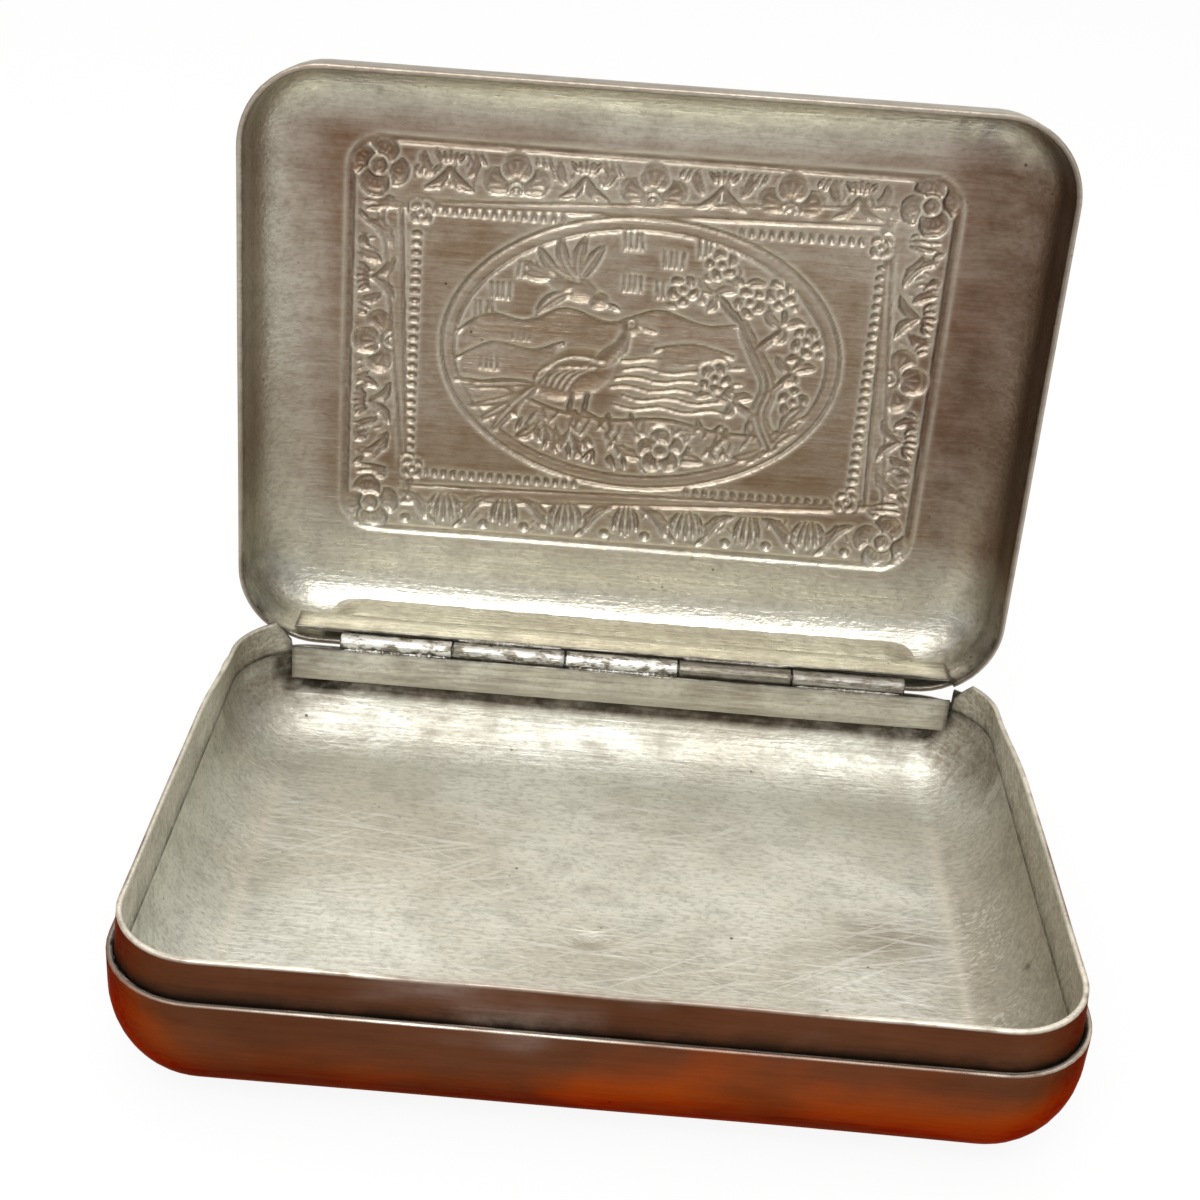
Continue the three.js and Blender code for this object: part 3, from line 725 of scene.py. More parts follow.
def make_lid(material):
    rear_top = LID["height"] - (AXIS_Z + WALL_CUT_HEIGHT - RIM_Z)
    tray = Tray(LID, LID_SPACING, tuple(np.linspace(0.1, 1, 10)), 11, rear_top)
    points = tray.points.copy()
    height = pressed_panel(tray.x_lines, tray.y_lines)
    hollow = (height - softened(softened(height, 1), 2)).ravel()
    slope = np.hypot(*np.gradient(height, LID_SPACING)).ravel()
    crest, flank = np.zeros(len(points)), np.zeros(len(points))
    for part, face in zip(tray.panel, (-1, 1)):
        points[part, 2] -= height.ravel()
        crest[part] = face * hollow
        flank[part] = slope
    points += waves(tray.points, 11, 0.07, 50)
    for centre, radius, deep in LID_DINGS:
        points[:, 2] += deep * spot(tray.points, centre, radius)
    x, y, depth = tray.points.T
    inside, rim, plan = tray.inside, tray.rim, tray.points[:, :2]
    up = -y - PANEL_SHIFT
    # Brown over the inside, thinned on the lower and upper curves as a painted highlight
    tarnish = 0.9 + 0.1 * spot(plan, (-38, -24), 12) + 0.2 * smooth(x, 33, 40) - 0.3 * smooth(-x, 38, 46)
    tarnish = tarnish * (1 - 0.9 * smooth(-up, 19, 33)) * (1 - 0.75 * smooth(up, 26, 32))
    tarnish = inside * tarnish + (1 - inside) * 0.6
    tarnish = tarnish * (1 - rim) + 0.75 * rim
    # Dirt on the right, near the rim and in the hollows of the relief; darker in the rear corners
    grime = 0.25 * smooth(x, 35, 44) * smooth(up, -30, -12) + 0.4 * smooth(depth, 8.5, 10.6)
    grime = grime + 0.5 * smooth(np.hypot(x, y), 50, 58) * smooth(y, 20, 30)
    for centre in LID_DIRT:
        grime = grime + spot(tray.points, centre, 0.5)
    in_hollows = np.where(inside > 0, np.clip(2.2 * crest, 0, 0.3), np.clip(5 * crest, 0, 0.6))
    grime = inside * grime + in_hollows
    # Wear on the crests of the relief, more of it outside
    wear = np.clip(-crest * 4, 0, 0.3) + np.clip(0.6 * (flank - 0.25), 0, 0.2) + 0.1 * rim
    wear = wear + (1 - inside) * np.clip(-crest * 4, 0, 0.4)
    # Warm toning round the panel, on the right and in one upper corner
    beyond = np.maximum(np.abs(x) - INNER_HALF[0], np.abs(up) - INNER_HALF[1])
    curve = smooth(depth, 0.8, 2.5)
    warm = 0.26 * smooth(beyond, 0, 4) * (1 - curve) * smooth(up, -24, -4)
    warm = warm + 0.14 * smooth(x, 24, 41) + 0.22 * curve * smooth(x, 41, 46)
    warm = warm + 0.1 * spot(plan, (-36, -22), 12)
    toning = np.where(inside > 0, warm, 0.25 * smooth(depth, 1, 8))
    points[:, 2] = LID_TOP - points[:, 2]
    make_piece("lid_sheet", opened(points), tray.quads[:, ::-1], "lid", "silver_lid", material, ["lid_shell"],
               tarnish=tarnish, toning=toning, grime=grime, wear=wear,
               scuff=0.05 * inside * (depth < 2), buff=1 - 0.4 * inside)


# Collar, bearers, tubes and pin

# Rows of the collar's section: share of its height, and share of its lean from foot to head
COLLAR_ROWS = (
    (0.0, 0.0), (0.12, 0.0), (0.36, 0.0), (0.6, 0.35),
    (0.8, 0.7), (0.94, 0.95), (0.985, 0.97), (1.0, 1.0),
)
COLLAR_ROUND = 0.16


def collar_top(y):
    """Height of the collar's top edge, lower round the rear corners."""
    return COLLAR_TOP + (COLLAR_REAR_TOP - COLLAR_TOP) * smooth(y, CORNER_Y - COLLAR_RAMP, CORNER_Y)


def collar_path(inset, rear_ends):
    """Points from the left rear end round the front to the right rear end, drawn in by an inset."""
    radius = CORNER_RADIUS - inset
    left_end, right_end = [math.acos((end - CORNER_X) / radius) for end in rear_ends]
    foot, out = [], []

    def arc(cx, cy, start, end, steps):
        for turn in np.linspace(start, end, steps + 1):
            foot.append((cx, cy))
            out.append((math.cos(turn), math.sin(turn)))

    def side(a, b, direction, steps):
        for part in np.linspace(0, 1, steps + 1)[1:-1]:
            foot.append((a[0] + (b[0] - a[0]) * part, a[1] + (b[1] - a[1]) * part))
            out.append(direction)

    arc(-CORNER_X, CORNER_Y, math.pi - left_end, math.pi, 12)
    side((-CORNER_X, CORNER_Y), (-CORNER_X, -CORNER_Y), (-1, 0), 50)
    arc(-CORNER_X, -CORNER_Y, math.pi, 1.5 * math.pi, 14)
    side((-CORNER_X, -CORNER_Y), (CORNER_X, -CORNER_Y), (0, -1), 80)
    arc(CORNER_X, -CORNER_Y, 1.5 * math.pi, 2 * math.pi, 14)
    side((CORNER_X, -CORNER_Y), (CORNER_X, CORNER_Y), (1, 0), 50)
    arc(CORNER_X, CORNER_Y, 0, right_end, 12)
    return np.array(foot) + np.array(out) * radius


def make_collar(material):
    half = STRIP_HALF + 0.15
    loops, part, inner = [], [], []
    for face, rows in ((0, COLLAR_ROWS), (1, COLLAR_ROWS[::-1])):
        for share, lean in rows:
            rise = COLLAR_BOTTOM + (COLLAR_REAR_TOP - COLLAR_BOTTOM) * share
            slope = COLLAR_SLOPE * np.clip((rise - COLLAR_SQUARE) / (COLLAR_REAR_TOP - COLLAR_SQUARE), 0, 1)
            rounding = COLLAR_ROUND if share == 1.0 else 0.0
            inset = COLLAR_FOOT + (COLLAR_HEAD - COLLAR_FOOT) * lean + rounding
            rear_ends = (half - HINGE_SHIFT + slope, half + HINGE_SHIFT + slope)
            place = collar_path(inset + face * (COLLAR_SHEET - 2 * rounding), rear_ends)
            z = COLLAR_BOTTOM + (collar_top(place[:, 1]) - COLLAR_BOTTOM) * share
            loops.append(np.column_stack([place, z]))
            part.append(np.full(len(z), share))
            inner.append(np.full(len(z), face))
    points, part, inner = np.concatenate(loops), np.concatenate(part), np.concatenate(inner)
    number = np.arange(len(points)).reshape(len(loops), -1).T
    quads = np.concatenate([ring_quads(number), end_quads(number)])
    x, y = points[:, 0], points[:, 1]
    points = points + waves(points, 3, 0.07, 46) * (1, 1, 0)
    points[:, 2] += 0.05 * np.sin(x * 0.31 + y * 0.23) * (part > 0.9)
    wear = smooth(part, 0.955, 0.99) * uneven_gleam(points, 9, 30, 0.4)
    # Dirt at the inner face's foot; painted shade with some dirt over the outer face's lower half, just above
    # the ledge
    grime = 0.9 * np.where(inner > 0, 1 - smooth(part, 0.0, 0.2), 1 - smooth(part, 0.5, 0.62))
    tarnish = 0.4 + 0.3 * smooth(x, 44, 49) + 0.35 * smooth(y, 20, 32)
    # Outer face: toning with painted orange reflection towards the front
    toning = (1 - inner) * (0.4 + 0.28 * front_share(y))
    make_piece("base_collar_band", points, quads, "base", "silver_base", material, ["base_collar"],
               tarnish=tarnish, toning=toning, grime=grime, wear=wear)


def swept(section, x_from, x_to, steps, seed, rough):
    """Bar with a closed section of (y, z) points, drawn along x, with flat ends and an uneven skin."""
    section = np.array(section)
    xs = np.linspace(x_from, x_to, steps + 1)
    points = np.array([[x, y, z] for x in xs for y, z in section])
    points += waves(points, seed, rough, 9) * (0.4, 1, 1)
    number = np.arange(len(points)).reshape(steps + 1, -1)
    first_cap = fan_quads(number[0], len(points))
    last_cap = fan_quads(number[-1][::-1], len(points) + 1)
    middle = section.mean(0)
    points = np.concatenate([points, [[x_from, *middle], [x_to, *middle]]])
    return points, np.concatenate([ring_quads(number), first_cap, last_cap])


def bearer_section(side):
    """Section of a bearer beside the hinge axis, below it (side -1) or above it (side 1)."""
    bevel = 0.14
    low, high = STRIP_EDGE, STRIP_EDGE + STRIP_HEIGHT
    middle = (low + high) / 2
    corners = [(-STRIP_FRONT, low + 0.03), (-STRIP_FRONT, low + 0.4), (-STRIP_FRONT, middle),
               (-STRIP_FRONT, high - bevel), (-STRIP_FRONT + bevel, high), (-STRIP_BACK - bevel, high),
               (-STRIP_BACK, high - bevel), (-STRIP_BACK, middle)]
    back = math.pi - math.acos(STRIP_BACK / STRIP_HOLLOW)
    front = math.pi - math.asin((STRIP_EDGE + 0.02) / STRIP_HOLLOW)
    for turn in np.linspace(back, front, 6):
        corners.append((STRIP_HOLLOW * math.cos(turn), STRIP_HOLLOW * math.sin(turn)))
    return [(AXIS_Y + y, AXIS_Z + side * z) for y, z in corners]


def make_bearer(name, side, body, node, seed, material):
    x_from, x_to = HINGE_SHIFT - STRIP_HALF, HINGE_SHIFT + STRIP_HALF - 0.25
    points, quads = swept(bearer_section(side), x_from, x_to, 150, seed, 0.035)
    rise = np.abs(points[:, 2] - AXIS_Z)
    tarnish, edge_dirt, edge_wear = 0.2, 0.0, 0.0
    if side > 0:
        points = opened(points)
    else:
        quads = quads[:, ::-1]
        tarnish, edge_dirt, edge_wear = 0.5, 0.6, 0.5
    ends = smooth(np.abs(points[:, 0] - HINGE_SHIFT), STRIP_HALF - 3, STRIP_HALF)
    blotch = 0.1 * waves(points, seed + 9, 1.0, 6)[:, 0]
    # Painted shade with some dirt where the bearer meets the tubes, and along the base bearer's lower edge
    grime = 0.85 * (1 - smooth(rise, 0.4, 1.0)) + edge_dirt * smooth(rise, 4.9, 5.2)
    make_piece(name, points, quads, body, "hinge_silver", material, [node],
               tarnish=tarnish + 0.3 * ends + blotch, grime=grime, wear=edge_wear * smooth(rise, 4.6, 5.0))


# Section of the lid's fillet, in y and z from the hinge axis: its face, and its back against the lid
FILLET_FACE = (
    (-1.56, 4.9), (-1.56, 5.3), (-1.5, 5.9), (-1.44, 6.6), (-1.42, 7.2),
    (-1.46, 7.9), (-1.58, 8.55), (-1.75, 9.1), (-1.95, 9.5), (-2.1, 9.85),
)
FILLET_BACK = (
    (-1.0, 4.9), (-0.6, 5.3), (0.3, 5.4), (0.35, 5.9), (0.35, 6.4),
    (0.2, 7.0), (-0.1, 7.8), (-0.65, 8.6), (-1.2, 9.2), (-2.0, 9.95),
)


def make_fillet(material):
    """Run of solder that carries the lid's curve down on to its bearer."""
    face, back = np.array(FILLET_FACE), np.array(FILLET_BACK)
    points = []
    for x in np.linspace(-39.8, 41.8, 137):
        swell = 0.06 * math.sin(1.7 * x) * math.sin(0.61 * x + 1)
        fullness = smooth(x, -40.2, -35.5) * (1 - smooth(x, 37.5, 42.2))
        line = back + (face - back) * (0.03 + (0.97 + swell) * fullness)
        loop = np.concatenate([line, back[::-1]])
        points += [(x, AXIS_Y + y, AXIS_Z + z) for y, z in loop]
    number = np.arange(len(points)).reshape(-1, 2 * len(face))
    quads = np.concatenate([ring_quads(number), end_quads(number)])
    points = opened(np.array(points))
    make_piece("lid_bearer_fillet", points, quads, "lid", "silver_lid", material, tarnish=0.2)


def ring_turns(count):
    """Angles of points spaced evenly round a ring."""
    return np.linspace(0, 2 * math.pi, count, endpoint=False)


def tube_centre(place):
    """Middle of a hinge tube along x, counted from 0 at the left."""
    return HINGE_SHIFT + (place - 2) * KNUCKLE_PITCH


def hinge_rings(centre, rings, around, seam=0.0):
    """Points and point numbers of rings about the hinge axis, from each ring's x and radius."""
    turns = ring_turns(around)
    x, radius = np.array(rings).T[:, :, None]
    reach = radius - seam
    y, z = AXIS_Y + reach * np.cos(turns), AXIS_Z + reach * np.sin(turns)
    points = np.stack(np.broadcast_arrays(centre + x, y, z), 2).reshape(-1, 3)
    return points, np.arange(len(points)).reshape(-1, around)


def make_tube(name, place, body, node, seed, material, residue):
    """Hinge tube with a rolled seam, chamfered ends and a bore."""
    centre, half, around = tube_centre(place), KNUCKLE_LENGTH / 2, 36
    outer = [(-half, KNUCKLE_RADIUS - 0.12), (-half + 0.06, KNUCKLE_RADIUS - 0.03)]
    outer += [(x, KNUCKLE_RADIUS) for x in np.linspace(-half + 0.16, half - 0.16, 30)]
    outer += [(half - 0.06, KNUCKLE_RADIUS - 0.03), (half, KNUCKLE_RADIUS - 0.12)]
    inner = [(half, BORE_RADIUS + 0.05), (half - 0.1, BORE_RADIUS)]
    inner += [(-x, radius) for x, radius in inner[::-1]]
    gaps = [math.remainder(turn - 2.4 - seed, 2 * math.pi) for turn in ring_turns(around)]
    on_skin = np.repeat([1.0, 0.0], [len(outer), len(inner)])
    seam = 0.07 * line_weight(np.array(gaps), 0.09) * on_skin[:, None]
    points, number = hinge_rings(centre, outer + inner, around, seam)
    skin = np.repeat(on_skin, around)
    points = points + waves(points, seed, 0.03, 5) * skin[:, None] * (0, 1, 1) * 0.9
    quads = ring_quads(np.concatenate([number, number[:1]]))
    shift = np.abs(points[:, 0] - centre)
    if body == "lid":
        points = opened(points)
    grime = 0.7 * smooth(shift, half - 0.45, half - 0.05) + 0.4 * (1 - skin)
    make_piece(name, points, quads[:, ::-1], body, "hinge_silver", material, [node],
               tarnish=0.5 * skin, grime=grime, wear=0.1 * skin, residue=residue * skin)


def make_pin(material):
    """Wire through the tubes, with rounded ends."""
    tip = ((0.0, 0.12), (0.04, 0.36), (0.13, 0.55), (0.3, PIN_RADIUS))
    start = [(-PIN_HALF + x, radius) for x, radius in tip]
    rings = start + [(x, PIN_RADIUS) for x in np.linspace(-PIN_HALF + 2, PIN_HALF - 2, 12)]
    rings += [(-x, radius) for x, radius in start[::-1]]
    points, number = hinge_rings(HINGE_SHIFT, rings, 24)
    first_cap = fan_quads(number[0], len(points), -1)
    last_cap = fan_quads(number[-1], len(points) + 1)
    tips = [(HINGE_SHIFT + end * (PIN_HALF + 0.01), AXIS_Y, AXIS_Z) for end in (-1, 1)]
    quads = np.concatenate([ring_quads(number)[:, ::-1], first_cap, last_cap])
    points = np.concatenate([points, tips])
    make_piece("pin_wire", points, quads, "base", "pin_metal", material, ["hinge_pin"],
               tarnish=0.4, grime=0.3, wear=0.1)


def make_solder(name, place, side, body, seed, amount, material):
    """Uneven run of solder between a tube and its bearer."""
    rng = np.random.default_rng(seed)
    steps, around = 90, 10
    reach = KNUCKLE_LENGTH / 2 - 0.5
    xs = np.linspace(tube_centre(place) - reach, tube_centre(place) + reach, steps + 1)
    lumps = softened(rng.normal(size=(steps + 1, 1)), 1)[:, 0]
    size = 0.2 + 0.12 * amount * np.clip(lumps * 1.6, -0.7, 1.6)
    size *= smooth(xs - xs[0], -0.3, 0.9) * smooth(xs[-1] - xs, -0.3, 0.9)
    points = []
    for x, radius in zip(xs, size):
        for turn in ring_turns(around):
            y, z = -1.36 + radius * math.cos(turn), 0.42 + 0.9 * radius * math.sin(turn)
            points.append((x, AXIS_Y + y, AXIS_Z + side * z))
    points = np.array(points)
    number = np.arange(len(points)).reshape(-1, around)
    quads = np.concatenate([ring_quads(number), end_quads(number)])
    if side > 0:
        points, quads = opened(points), quads[:, ::-1]
    make_piece(name, points, quads, body, "hinge_silver", material,
               tarnish=0.2, grime=0.25, wear=0.1, residue=0.5 * amount)


# Finishes


class Finish:
    """Node tree of a worn metal, built from noises in the piece's own place."""

    def __init__(self, name):
        self.material = bpy.data.materials.new(name)
        self.material.use_nodes = True
        self.tree = self.material.node_tree
        self.shader = self.tree.nodes["Principled BSDF"]
        self.place = self.add("ShaderNodeTexCoord").outputs["Object"]

    def add(self, kind, **settings):
        node = self.tree.nodes.new(kind)
        for key, value in settings.items():
            setattr(node, key, value)
        return node

    def put(self, socket, value):
        if isinstance(value, bpy.types.NodeSocket):
            self.tree.links.new(value, socket)
        else:
            socket.default_value = value

    def mapped(self, stretch, turn):
        node = self.add("ShaderNodeMapping", vector_type="TEXTURE")
        node.inputs["Scale"].default_value = [1 / part for part in stretch]
        node.inputs["Rotation"].default_value = turn
        self.put(node.inputs["Vector"], self.place)
        return node.outputs["Vector"]

    def noise(self, stretch, detail=4.0, rough=0.55, turn=(0, 0, 0), twist=0.0):
        """Noise with so many features to the metre along each axis."""
        node = self.add("ShaderNodeTexNoise")
        self.put(node.inputs["Vector"], self.mapped(stretch, turn))
        for key, value in (("Scale", 1.0), ("Detail", detail), ("Roughness", rough), ("Distortion", twist)):
            node.inputs[key].default_value = value
        return node.outputs["Fac"]

    def cells(self, count):
        node = self.add("ShaderNodeTexVoronoi")
        self.put(node.inputs["Vector"], self.mapped((count,) * 3, (0, 0, 0)))
        node.inputs["Scale"].default_value = 1.0
        return node.outputs["Distance"]

    def weight(self, name):
        return self.add("ShaderNodeAttribute", attribute_name=name).outputs["Fac"]

    def ramp(self, value, low, high, first=0.0, last=1.0):
        node = self.add("ShaderNodeMapRange", interpolation_type="SMOOTHSTEP")
        for socket, number in zip(node.inputs, (value, low, high, first, last)):
            self.put(socket, number)
        return node.outputs["Result"]

    def math(self, operation, a, b):
        node = self.add("ShaderNodeMath", operation=operation, use_clamp=operation != "ADD")
        self.put(node.inputs[0], a)
        self.put(node.inputs[1], b)
        return node.outputs["Value"]

    def times(self, a, b):
        return self.math("MULTIPLY", a, b)

    def plus(self, a, b):
        return self.math("ADD", a, b)

    def mix(self, factor, a, b, blend="MIX"):
        node = self.add("ShaderNodeMix", data_type="RGBA", blend_type=blend)
        self.put(node.inputs["Factor"], factor)
        self.put(node.inputs[6], a if isinstance(a, bpy.types.NodeSocket) else (*a, 1))
        self.put(node.inputs[7], b if isinstance(b, bpy.types.NodeSocket) else (*b, 1))
        return node.outputs[2]

    def bump(self, height, distance, strength):
        node = self.add("ShaderNodeBump")
        node.inputs["Distance"].default_value = distance * MM
        self.put(node.inputs["Strength"], strength)
        self.put(node.inputs["Height"], height)
        self.put(self.shader.inputs["Normal"], node.outputs["Normal"])

    def done(self, colour, roughness, metallic):
        self.put(self.shader.inputs["Base Color"], colour)
        self.put(self.shader.inputs["Roughness"], roughness)
        self.put(self.shader.inputs["Metallic"], metallic)
        return self.material


def srgb(red, green, blue):
    """Linear colour from sRGB numbers of 0 to 255."""
    parts = []
    for part in (red, green, blue):
        part /= 255
        parts.append(part / 12.92 if part <= 0.04045 else ((part + 0.055) / 1.055) ** 2.4)
    return tuple(parts)


WHITE_GLEAM = srgb(250, 249, 242)
WORN_EDGE = srgb(232, 226, 210)
CHALK_WHITE = srgb(234, 233, 228)
DIRT_BROWN = srgb(46, 38, 30)
PIT_BROWN = srgb(58, 48, 38)
TONE_BROWN = srgb(98, 60, 40)
TONE_ORANGE = srgb(146, 66, 27)
TONE_DARK = srgb(80, 46, 28)
TONE_GLOSS = srgb(180, 116, 84)
# Runs of scratches beside the main one: turn, features to the metre along them, and noise level
SIDE_SCRATCHES = ((0.28, 45, 0.68), (0.6, 60, 0.69), (-0.5, 70, 0.7))


def scratches(f, lay):
    """Fine scratches where the piece is scuffed; lay is the axis that they turn about."""
    scratch = f.ramp(f.noise((30, 2000, 2000), 0.0, 0.4, [-0.12 * part for part in lay]), 0.66, 0.72)
    for turn, count, low in SIDE_SCRATCHES:
        more = f.noise((count, 2200, 2200), 0.0, 0.4, [turn * part for part in lay])
        scratch = f.plus(scratch, f.ramp(more, low, low + 0.06))
    scratch = f.times(scratch, f.ramp(f.noise((40, 60, 60), 2.0), 0.42, 0.6))
    return f.times(scratch, f.weight("scuff"))


def warm_toning(f, colour):
    """Colour with brown to orange toning over it, the orange partly a painted reflection, in soft patches
    with darker blotches.
    """
    tone = f.ramp(f.noise((26, 40, 60), 3.0, 0.6, twist=0.4), 0.3, 0.7, 0.6, 1.0)
    amount = f.times(f.weight("toning"), tone)
    copper = f.mix(f.ramp(amount, 0.62, 0.95), TONE_BROWN, TONE_ORANGE)
    copper = f.mix(f.ramp(f.noise((50, 50, 90), 3.0, 0.55), 0.48, 0.68, 0.0, 0.4), copper, TONE_DARK)
    return f.mix(f.ramp(amount, 0.05, 0.6), colour, copper)


def worn_silver(name, bright, dull, brown, roughness, metallic, lay=(0, 0, 1), streak=0.62):
    """Sheet silver with brushing, scratches, stains, dirt in hollows and bright worn edges, and the painted
    shade, highlights and reflection that its weights carry.
    """
    f = Finish(name)
    shade = tuple(0.6 * part for part in dull)
    toning, buff = f.weight("toning"), f.weight("buff")
    # Patterns, from the widest to the finest
    cloud = f.noise((30, 30, 30), 3.0, 0.55)
    mottle = f.noise((220, 300, 300), 4.0, 0.65)
    grain = f.noise((1100, 1700, 1700), 2.0, 0.6)
    brush = f.noise((110, 1700, 1700), 3.0, 0.65, twist=0.3)
    brush = f.ramp(buff, 0.0, 1.4, brush, 0.48)
    glint = f.ramp(f.noise((50, 3800, 3800), 2.0, 0.5), 0.55, 0.7, 0.0, 0.3)
    glint = f.times(glint, f.ramp(buff, 0.0, 1.0, 1.0, 0.3))
    scratch = scratches(f, lay)
    pit = f.ramp(f.cells(420), 0.06, 0.11, 1.0, 0.0)
    pit = f.times(pit, f.ramp(f.noise((90, 90, 90), 2.0), 0.58, 0.68))
    # Colour: bare metal with painted glints, then stains and toning that carry painted shade, highlight and
    # reflection, then scratches, dirt with painted shade, wear with painted highlights, and residue on top
    colour = f.mix(f.ramp(cloud, 0.36, 0.66), bright, dull)
    colour = f.mix(f.ramp(mottle, 0.45, 0.72, 0.0, 0.4), colour, shade)
    colour = f.mix(f.ramp(grain, 0.45, 0.68, 0.0, 0.4), colour, shade)
    colour = f.mix(f.ramp(brush, 0.46, 0.7, 0.0, 0.28), colour, shade)
    colour = f.mix(glint, colour, WHITE_GLEAM)
    stain = f.times(f.weight("tarnish"), f.ramp(f.plus(cloud, f.times(mottle, 0.5)), 0.5, 1.0, 0.78, 1.0))
    stain = f.times(stain, f.ramp(brush, 0.36, 0.64, streak, 1.0))
    colour = warm_toning(f, f.mix(stain, colour, brown))
    colour = f.mix(f.times(scratch, 0.36), colour, WHITE_GLEAM)
    dirt = f.times(f.weight("grime"), f.ramp(mottle, 0.3, 0.62, 0.45, 1.0))
    colour = f.mix(dirt, colour, DIRT_BROWN)
    colour = f.mix(f.times(pit, 0.8), colour, PIT_BROWN)
    rub = f.times(f.weight("wear"), f.ramp(mottle, 0.3, 0.6, 0.4, 1.0))
    colour = f.mix(rub, colour, WORN_EDGE)
    chalk = f.times(f.weight("residue"), f.ramp(f.noise((420, 900, 900), 3.0, 0.7), 0.4, 0.55))
    colour = f.mix(chalk, colour, CHALK_WHITE)
    # Gloss and fine bumps
    rough = f.ramp(brush, 0.3, 0.7, roughness - 0.08, roughness + 0.1)
    rough = f.plus(rough, f.ramp(mottle, 0.35, 0.7, 0.0, 0.1))
    rough = f.plus(rough, f.times(f.plus(stain, dirt), 0.12))
    height = f.plus(f.times(brush, 0.6), f.times(grain, 0.3))
    height = f.plus(height, f.times(mottle, 0.5))
    height = f.plus(height, f.times(f.plus(scratch, pit), -0.2))
    f.bump(height, 0.3, f.ramp(toning, 0.1, 0.6, 0.8, 0.2))
    f.put(f.shader.inputs["Specular Tint"], f.mix(f.ramp(toning, 0.2, 0.7), WHITE_GLEAM, TONE_GLOSS))
    return f.done(colour, rough, f.ramp(toning, 0.1, 0.6, metallic, 1.0))


# Stage, light and camera


# Sizes here are in metres
FLOOR_FLAT, FLOOR_BEND, FLOOR_END_TURN, FLOOR_AROUND = 2.2, 1.4, 1.13, 96
FLOOR_DROP = 0.00005
FLOOR_WHITE_SHARE = 0.9
WORLD_COLOUR, WORLD_STRENGTH = (1.0, 0.97, 0.93, 1), 0.44
# Area lamps: name, place, target, size and power in watts
LAMPS = (
    ("front_top", (-0.1, -0.46, 0.52), (0, 0, 0.03), (0.55, 0.4), 3.0),
    ("overhead", (0.0, 0.15, 0.75), (0, 0.12, 0), (1.7, 1.4), 8.0),
)
# Camera fitted to the photograph's edges; its turn is an axis times an angle
CAMERA_PLACE = (-0.0035241, -0.1791879, 0.1382379)
CAMERA_TURN = (2.0582, 0.0975, 0.0267)
CAMERA_SENSOR, CAMERA_LENS = 36.0, 56.2056
CAMERA_SHIFT = (0.0418, -0.0008)


def pale_floor():
    """Matt pale floor that looks almost white to the camera and in reflections."""
    material = bpy.data.materials.new("pale_floor")
    material.use_nodes = True
    tree = material.node_tree
    shader = tree.nodes["Principled BSDF"]
    shader.inputs["Base Color"].default_value = (0.86, 0.86, 0.85, 1)
    shader.inputs["Roughness"].default_value = 0.9
    glow = tree.nodes.new("ShaderNodeEmission")
    glow.inputs["Strength"].default_value = 1.0
    rays = tree.nodes.new("ShaderNodeLightPath").outputs
    seen = rays["Is Camera Ray"]
    for key in ("Is Glossy Ray", "Is Transmission Ray"):
        either = tree.nodes.new("ShaderNodeMath")
        either.operation = "MAXIMUM"
        tree.links.new(seen, either.inputs[0])
        tree.links.new(rays[key], either.inputs[1])
        seen = either.outputs[0]
    share = tree.nodes.new("ShaderNodeMath")
    share.operation = "MULTIPLY"
    share.inputs[1].default_value = FLOOR_WHITE_SHARE
    tree.links.new(seen, share.inputs[0])
    blend = tree.nodes.new("ShaderNodeMixShader")
    for socket, source in zip(blend.inputs, (share, shader, glow)):
        tree.links.new(source.outputs[0], socket)
    tree.links.new(blend.outputs[0], tree.nodes["Material Output"].inputs["Surface"])
    return material


def make_stage():
    """Pale floor that curves up to a low backdrop all round."""
    points = []
    for slope in np.linspace(0, FLOOR_END_TURN, 12):
        radius, z = FLOOR_FLAT + FLOOR_BEND * math.sin(slope), FLOOR_BEND * (1 - math.cos(slope))
        points += [(radius * math.cos(turn), radius * math.sin(turn), z) for turn in ring_turns(FLOOR_AROUND)]
    number = np.arange(len(points)).reshape(-1, FLOOR_AROUND)
    mesh = bpy.data.meshes.new("floor")
    mesh.from_pydata(points, [], [number[0].tolist(), *ring_quads(number).tolist()])
    mesh.shade_smooth()
    mesh.materials.append(pale_floor())
    floor = bpy.data.objects.new("floor", mesh)
    floor.location.z = -FLOOR_DROP
    bpy.context.scene.collection.objects.link(floor)


def make_lamp(name, place, target, size, power):
    """Area lamp at a place, facing a target."""
    lamp = bpy.data.lights.new(name, "AREA")
    lamp.shape = "RECTANGLE"
    lamp.size, lamp.size_y = size
    lamp.energy = power
    thing = bpy.data.objects.new(name, lamp)
    back = np.array(place, float) - target
    back /= np.linalg.norm(back)
    right = np.cross((0, 1, 0.001), back)
    right /= np.linalg.norm(right)
    up = np.cross(back, right)
    turn = Matrix(np.column_stack([right, up, back]).tolist()).to_4x4()
    thing.matrix_world = Matrix.Translation(place) @ turn
    bpy.context.scene.collection.objects.link(thing)


def make_lights():
    world = bpy.data.worlds.new("soft_room")
    world.use_nodes = True
    background = world.node_tree.nodes["Background"]
    background.inputs["Color"].default_value = WORLD_COLOUR
    background.inputs["Strength"].default_value = WORLD_STRENGTH
    bpy.context.scene.world = world
    for lamp in LAMPS:
        make_lamp(*lamp)


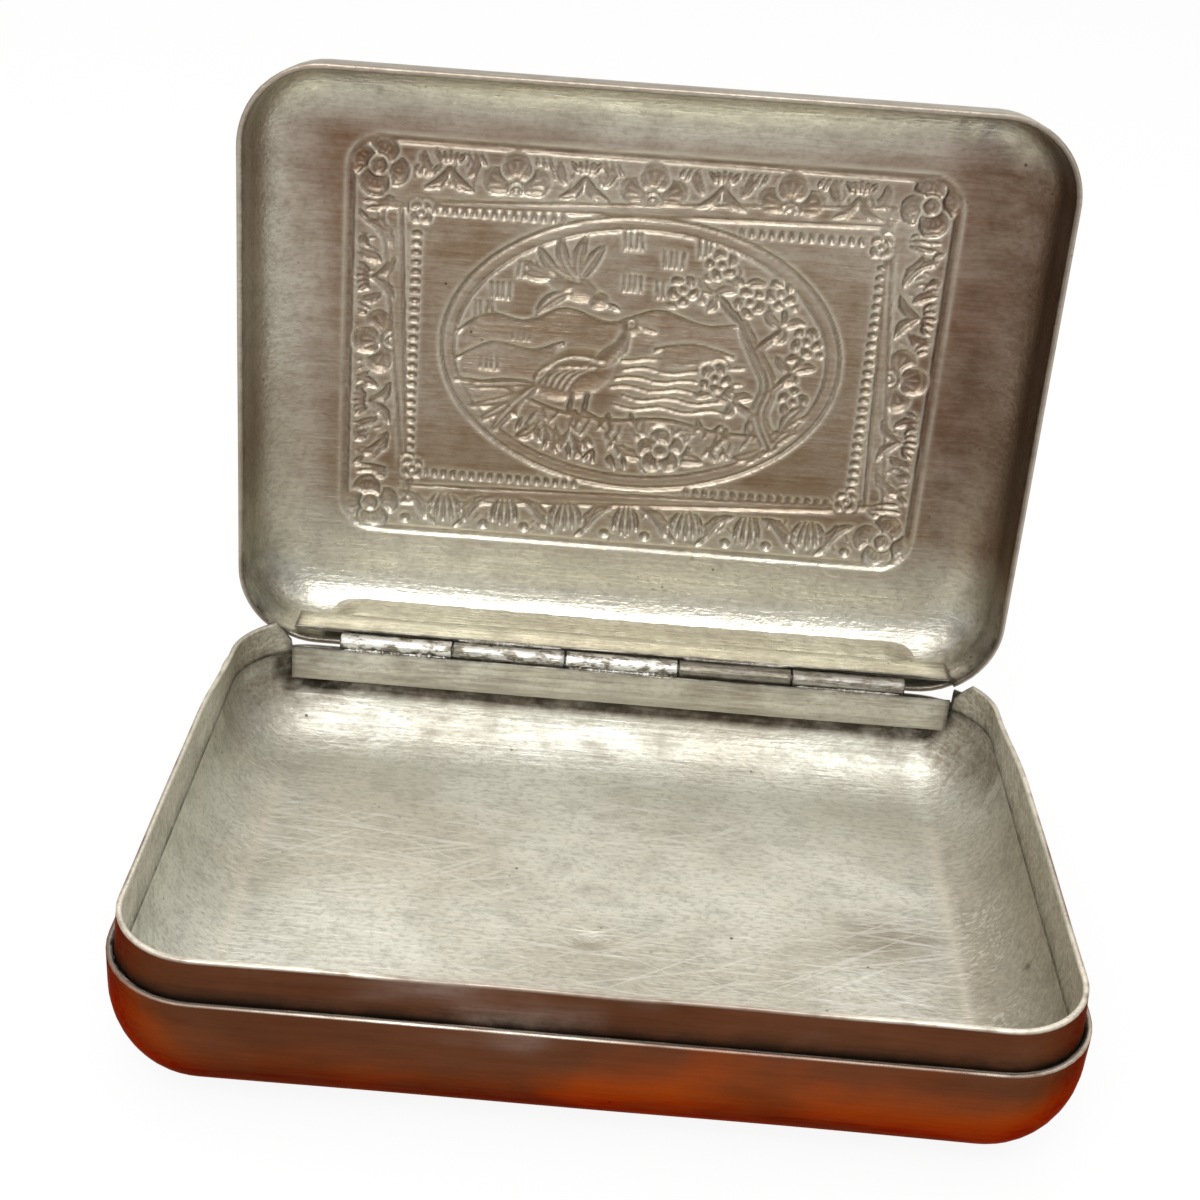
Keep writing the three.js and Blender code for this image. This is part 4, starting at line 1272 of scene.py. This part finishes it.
def make_camera():
    """Camera at the photograph's view; its turn leads from the row frame to right, down and ahead."""
    angle = np.linalg.norm(CAMERA_TURN)
    kx, ky, kz = np.array(CAMERA_TURN) / angle
    cross = np.array([[0, -kz, ky], [kz, 0, -kx], [-ky, kx, 0]])
    right, down, ahead = np.eye(3) + math.sin(angle) * cross + (1 - math.cos(angle)) * cross @ cross
    data = bpy.data.cameras.new("camera")
    data.sensor_width, data.lens = CAMERA_SENSOR, CAMERA_LENS
    data.shift_x, data.shift_y = CAMERA_SHIFT
    data.clip_start, data.clip_end = 0.01, 20
    camera = bpy.data.objects.new("camera", data)
    turn = Matrix(np.column_stack([right, -down, -ahead]).tolist()).to_4x4()
    camera.matrix_world = Matrix.Translation(CAMERA_PLACE) @ turn
    bpy.context.scene.collection.objects.link(camera)
    bpy.context.scene.camera = camera


# Hinge tubes from left to right: body, side and amount of white residue
TUBES = (
    ("base", "left", 0.85),
    ("lid", "left", 0.5),
    ("base", "centre", 0.8),
    ("lid", "right", 0.1),
    ("base", "right", 0.2),
)


def main():
    base_silver = worn_silver(
        "silver_base", srgb(240, 241, 231), srgb(208, 205, 190), srgb(128, 112, 90), 0.41, 0.64)
    lid_silver = worn_silver(
        "silver_lid", srgb(236, 235, 222), srgb(220, 217, 202), srgb(108, 76, 41), 0.27, 0.9, (0, 1, 0), 0.9)
    hinge_silver = worn_silver(
        "hinge_silver", srgb(142, 137, 122), srgb(106, 100, 87), srgb(84, 72, 56), 0.33, 0.88)
    pin_metal = worn_silver(
        "pin_metal", srgb(150, 144, 132), srgb(120, 112, 100), srgb(100, 84, 66), 0.42, 0.9)
    make_base_pan(base_silver)
    make_lid(lid_silver)
    make_collar(base_silver)
    make_bearer("base_bearer", -1, "base", "base_hinge_strip", 21, base_silver)
    make_bearer("lid_bearer", 1, "lid", "lid_hinge_strip", 22, lid_silver)
    make_fillet(lid_silver)
    for place, (body, where, residue) in enumerate(TUBES):
        node, side = f"{body}_knuckle_{where}", -1 if body == "base" else 1
        make_tube(f"{body}_tube_{where}", place, body, node, 31 + place, hinge_silver, residue)
        solder = f"{body}_solder_{where}"
        make_solder(solder, place, side, body, 41 + place, 0.4 + residue, hinge_silver)
    make_pin(pin_metal)
    make_stage()
    make_lights()
    make_camera()
    bpy.context.scene.view_settings.view_transform = "Standard"


main()
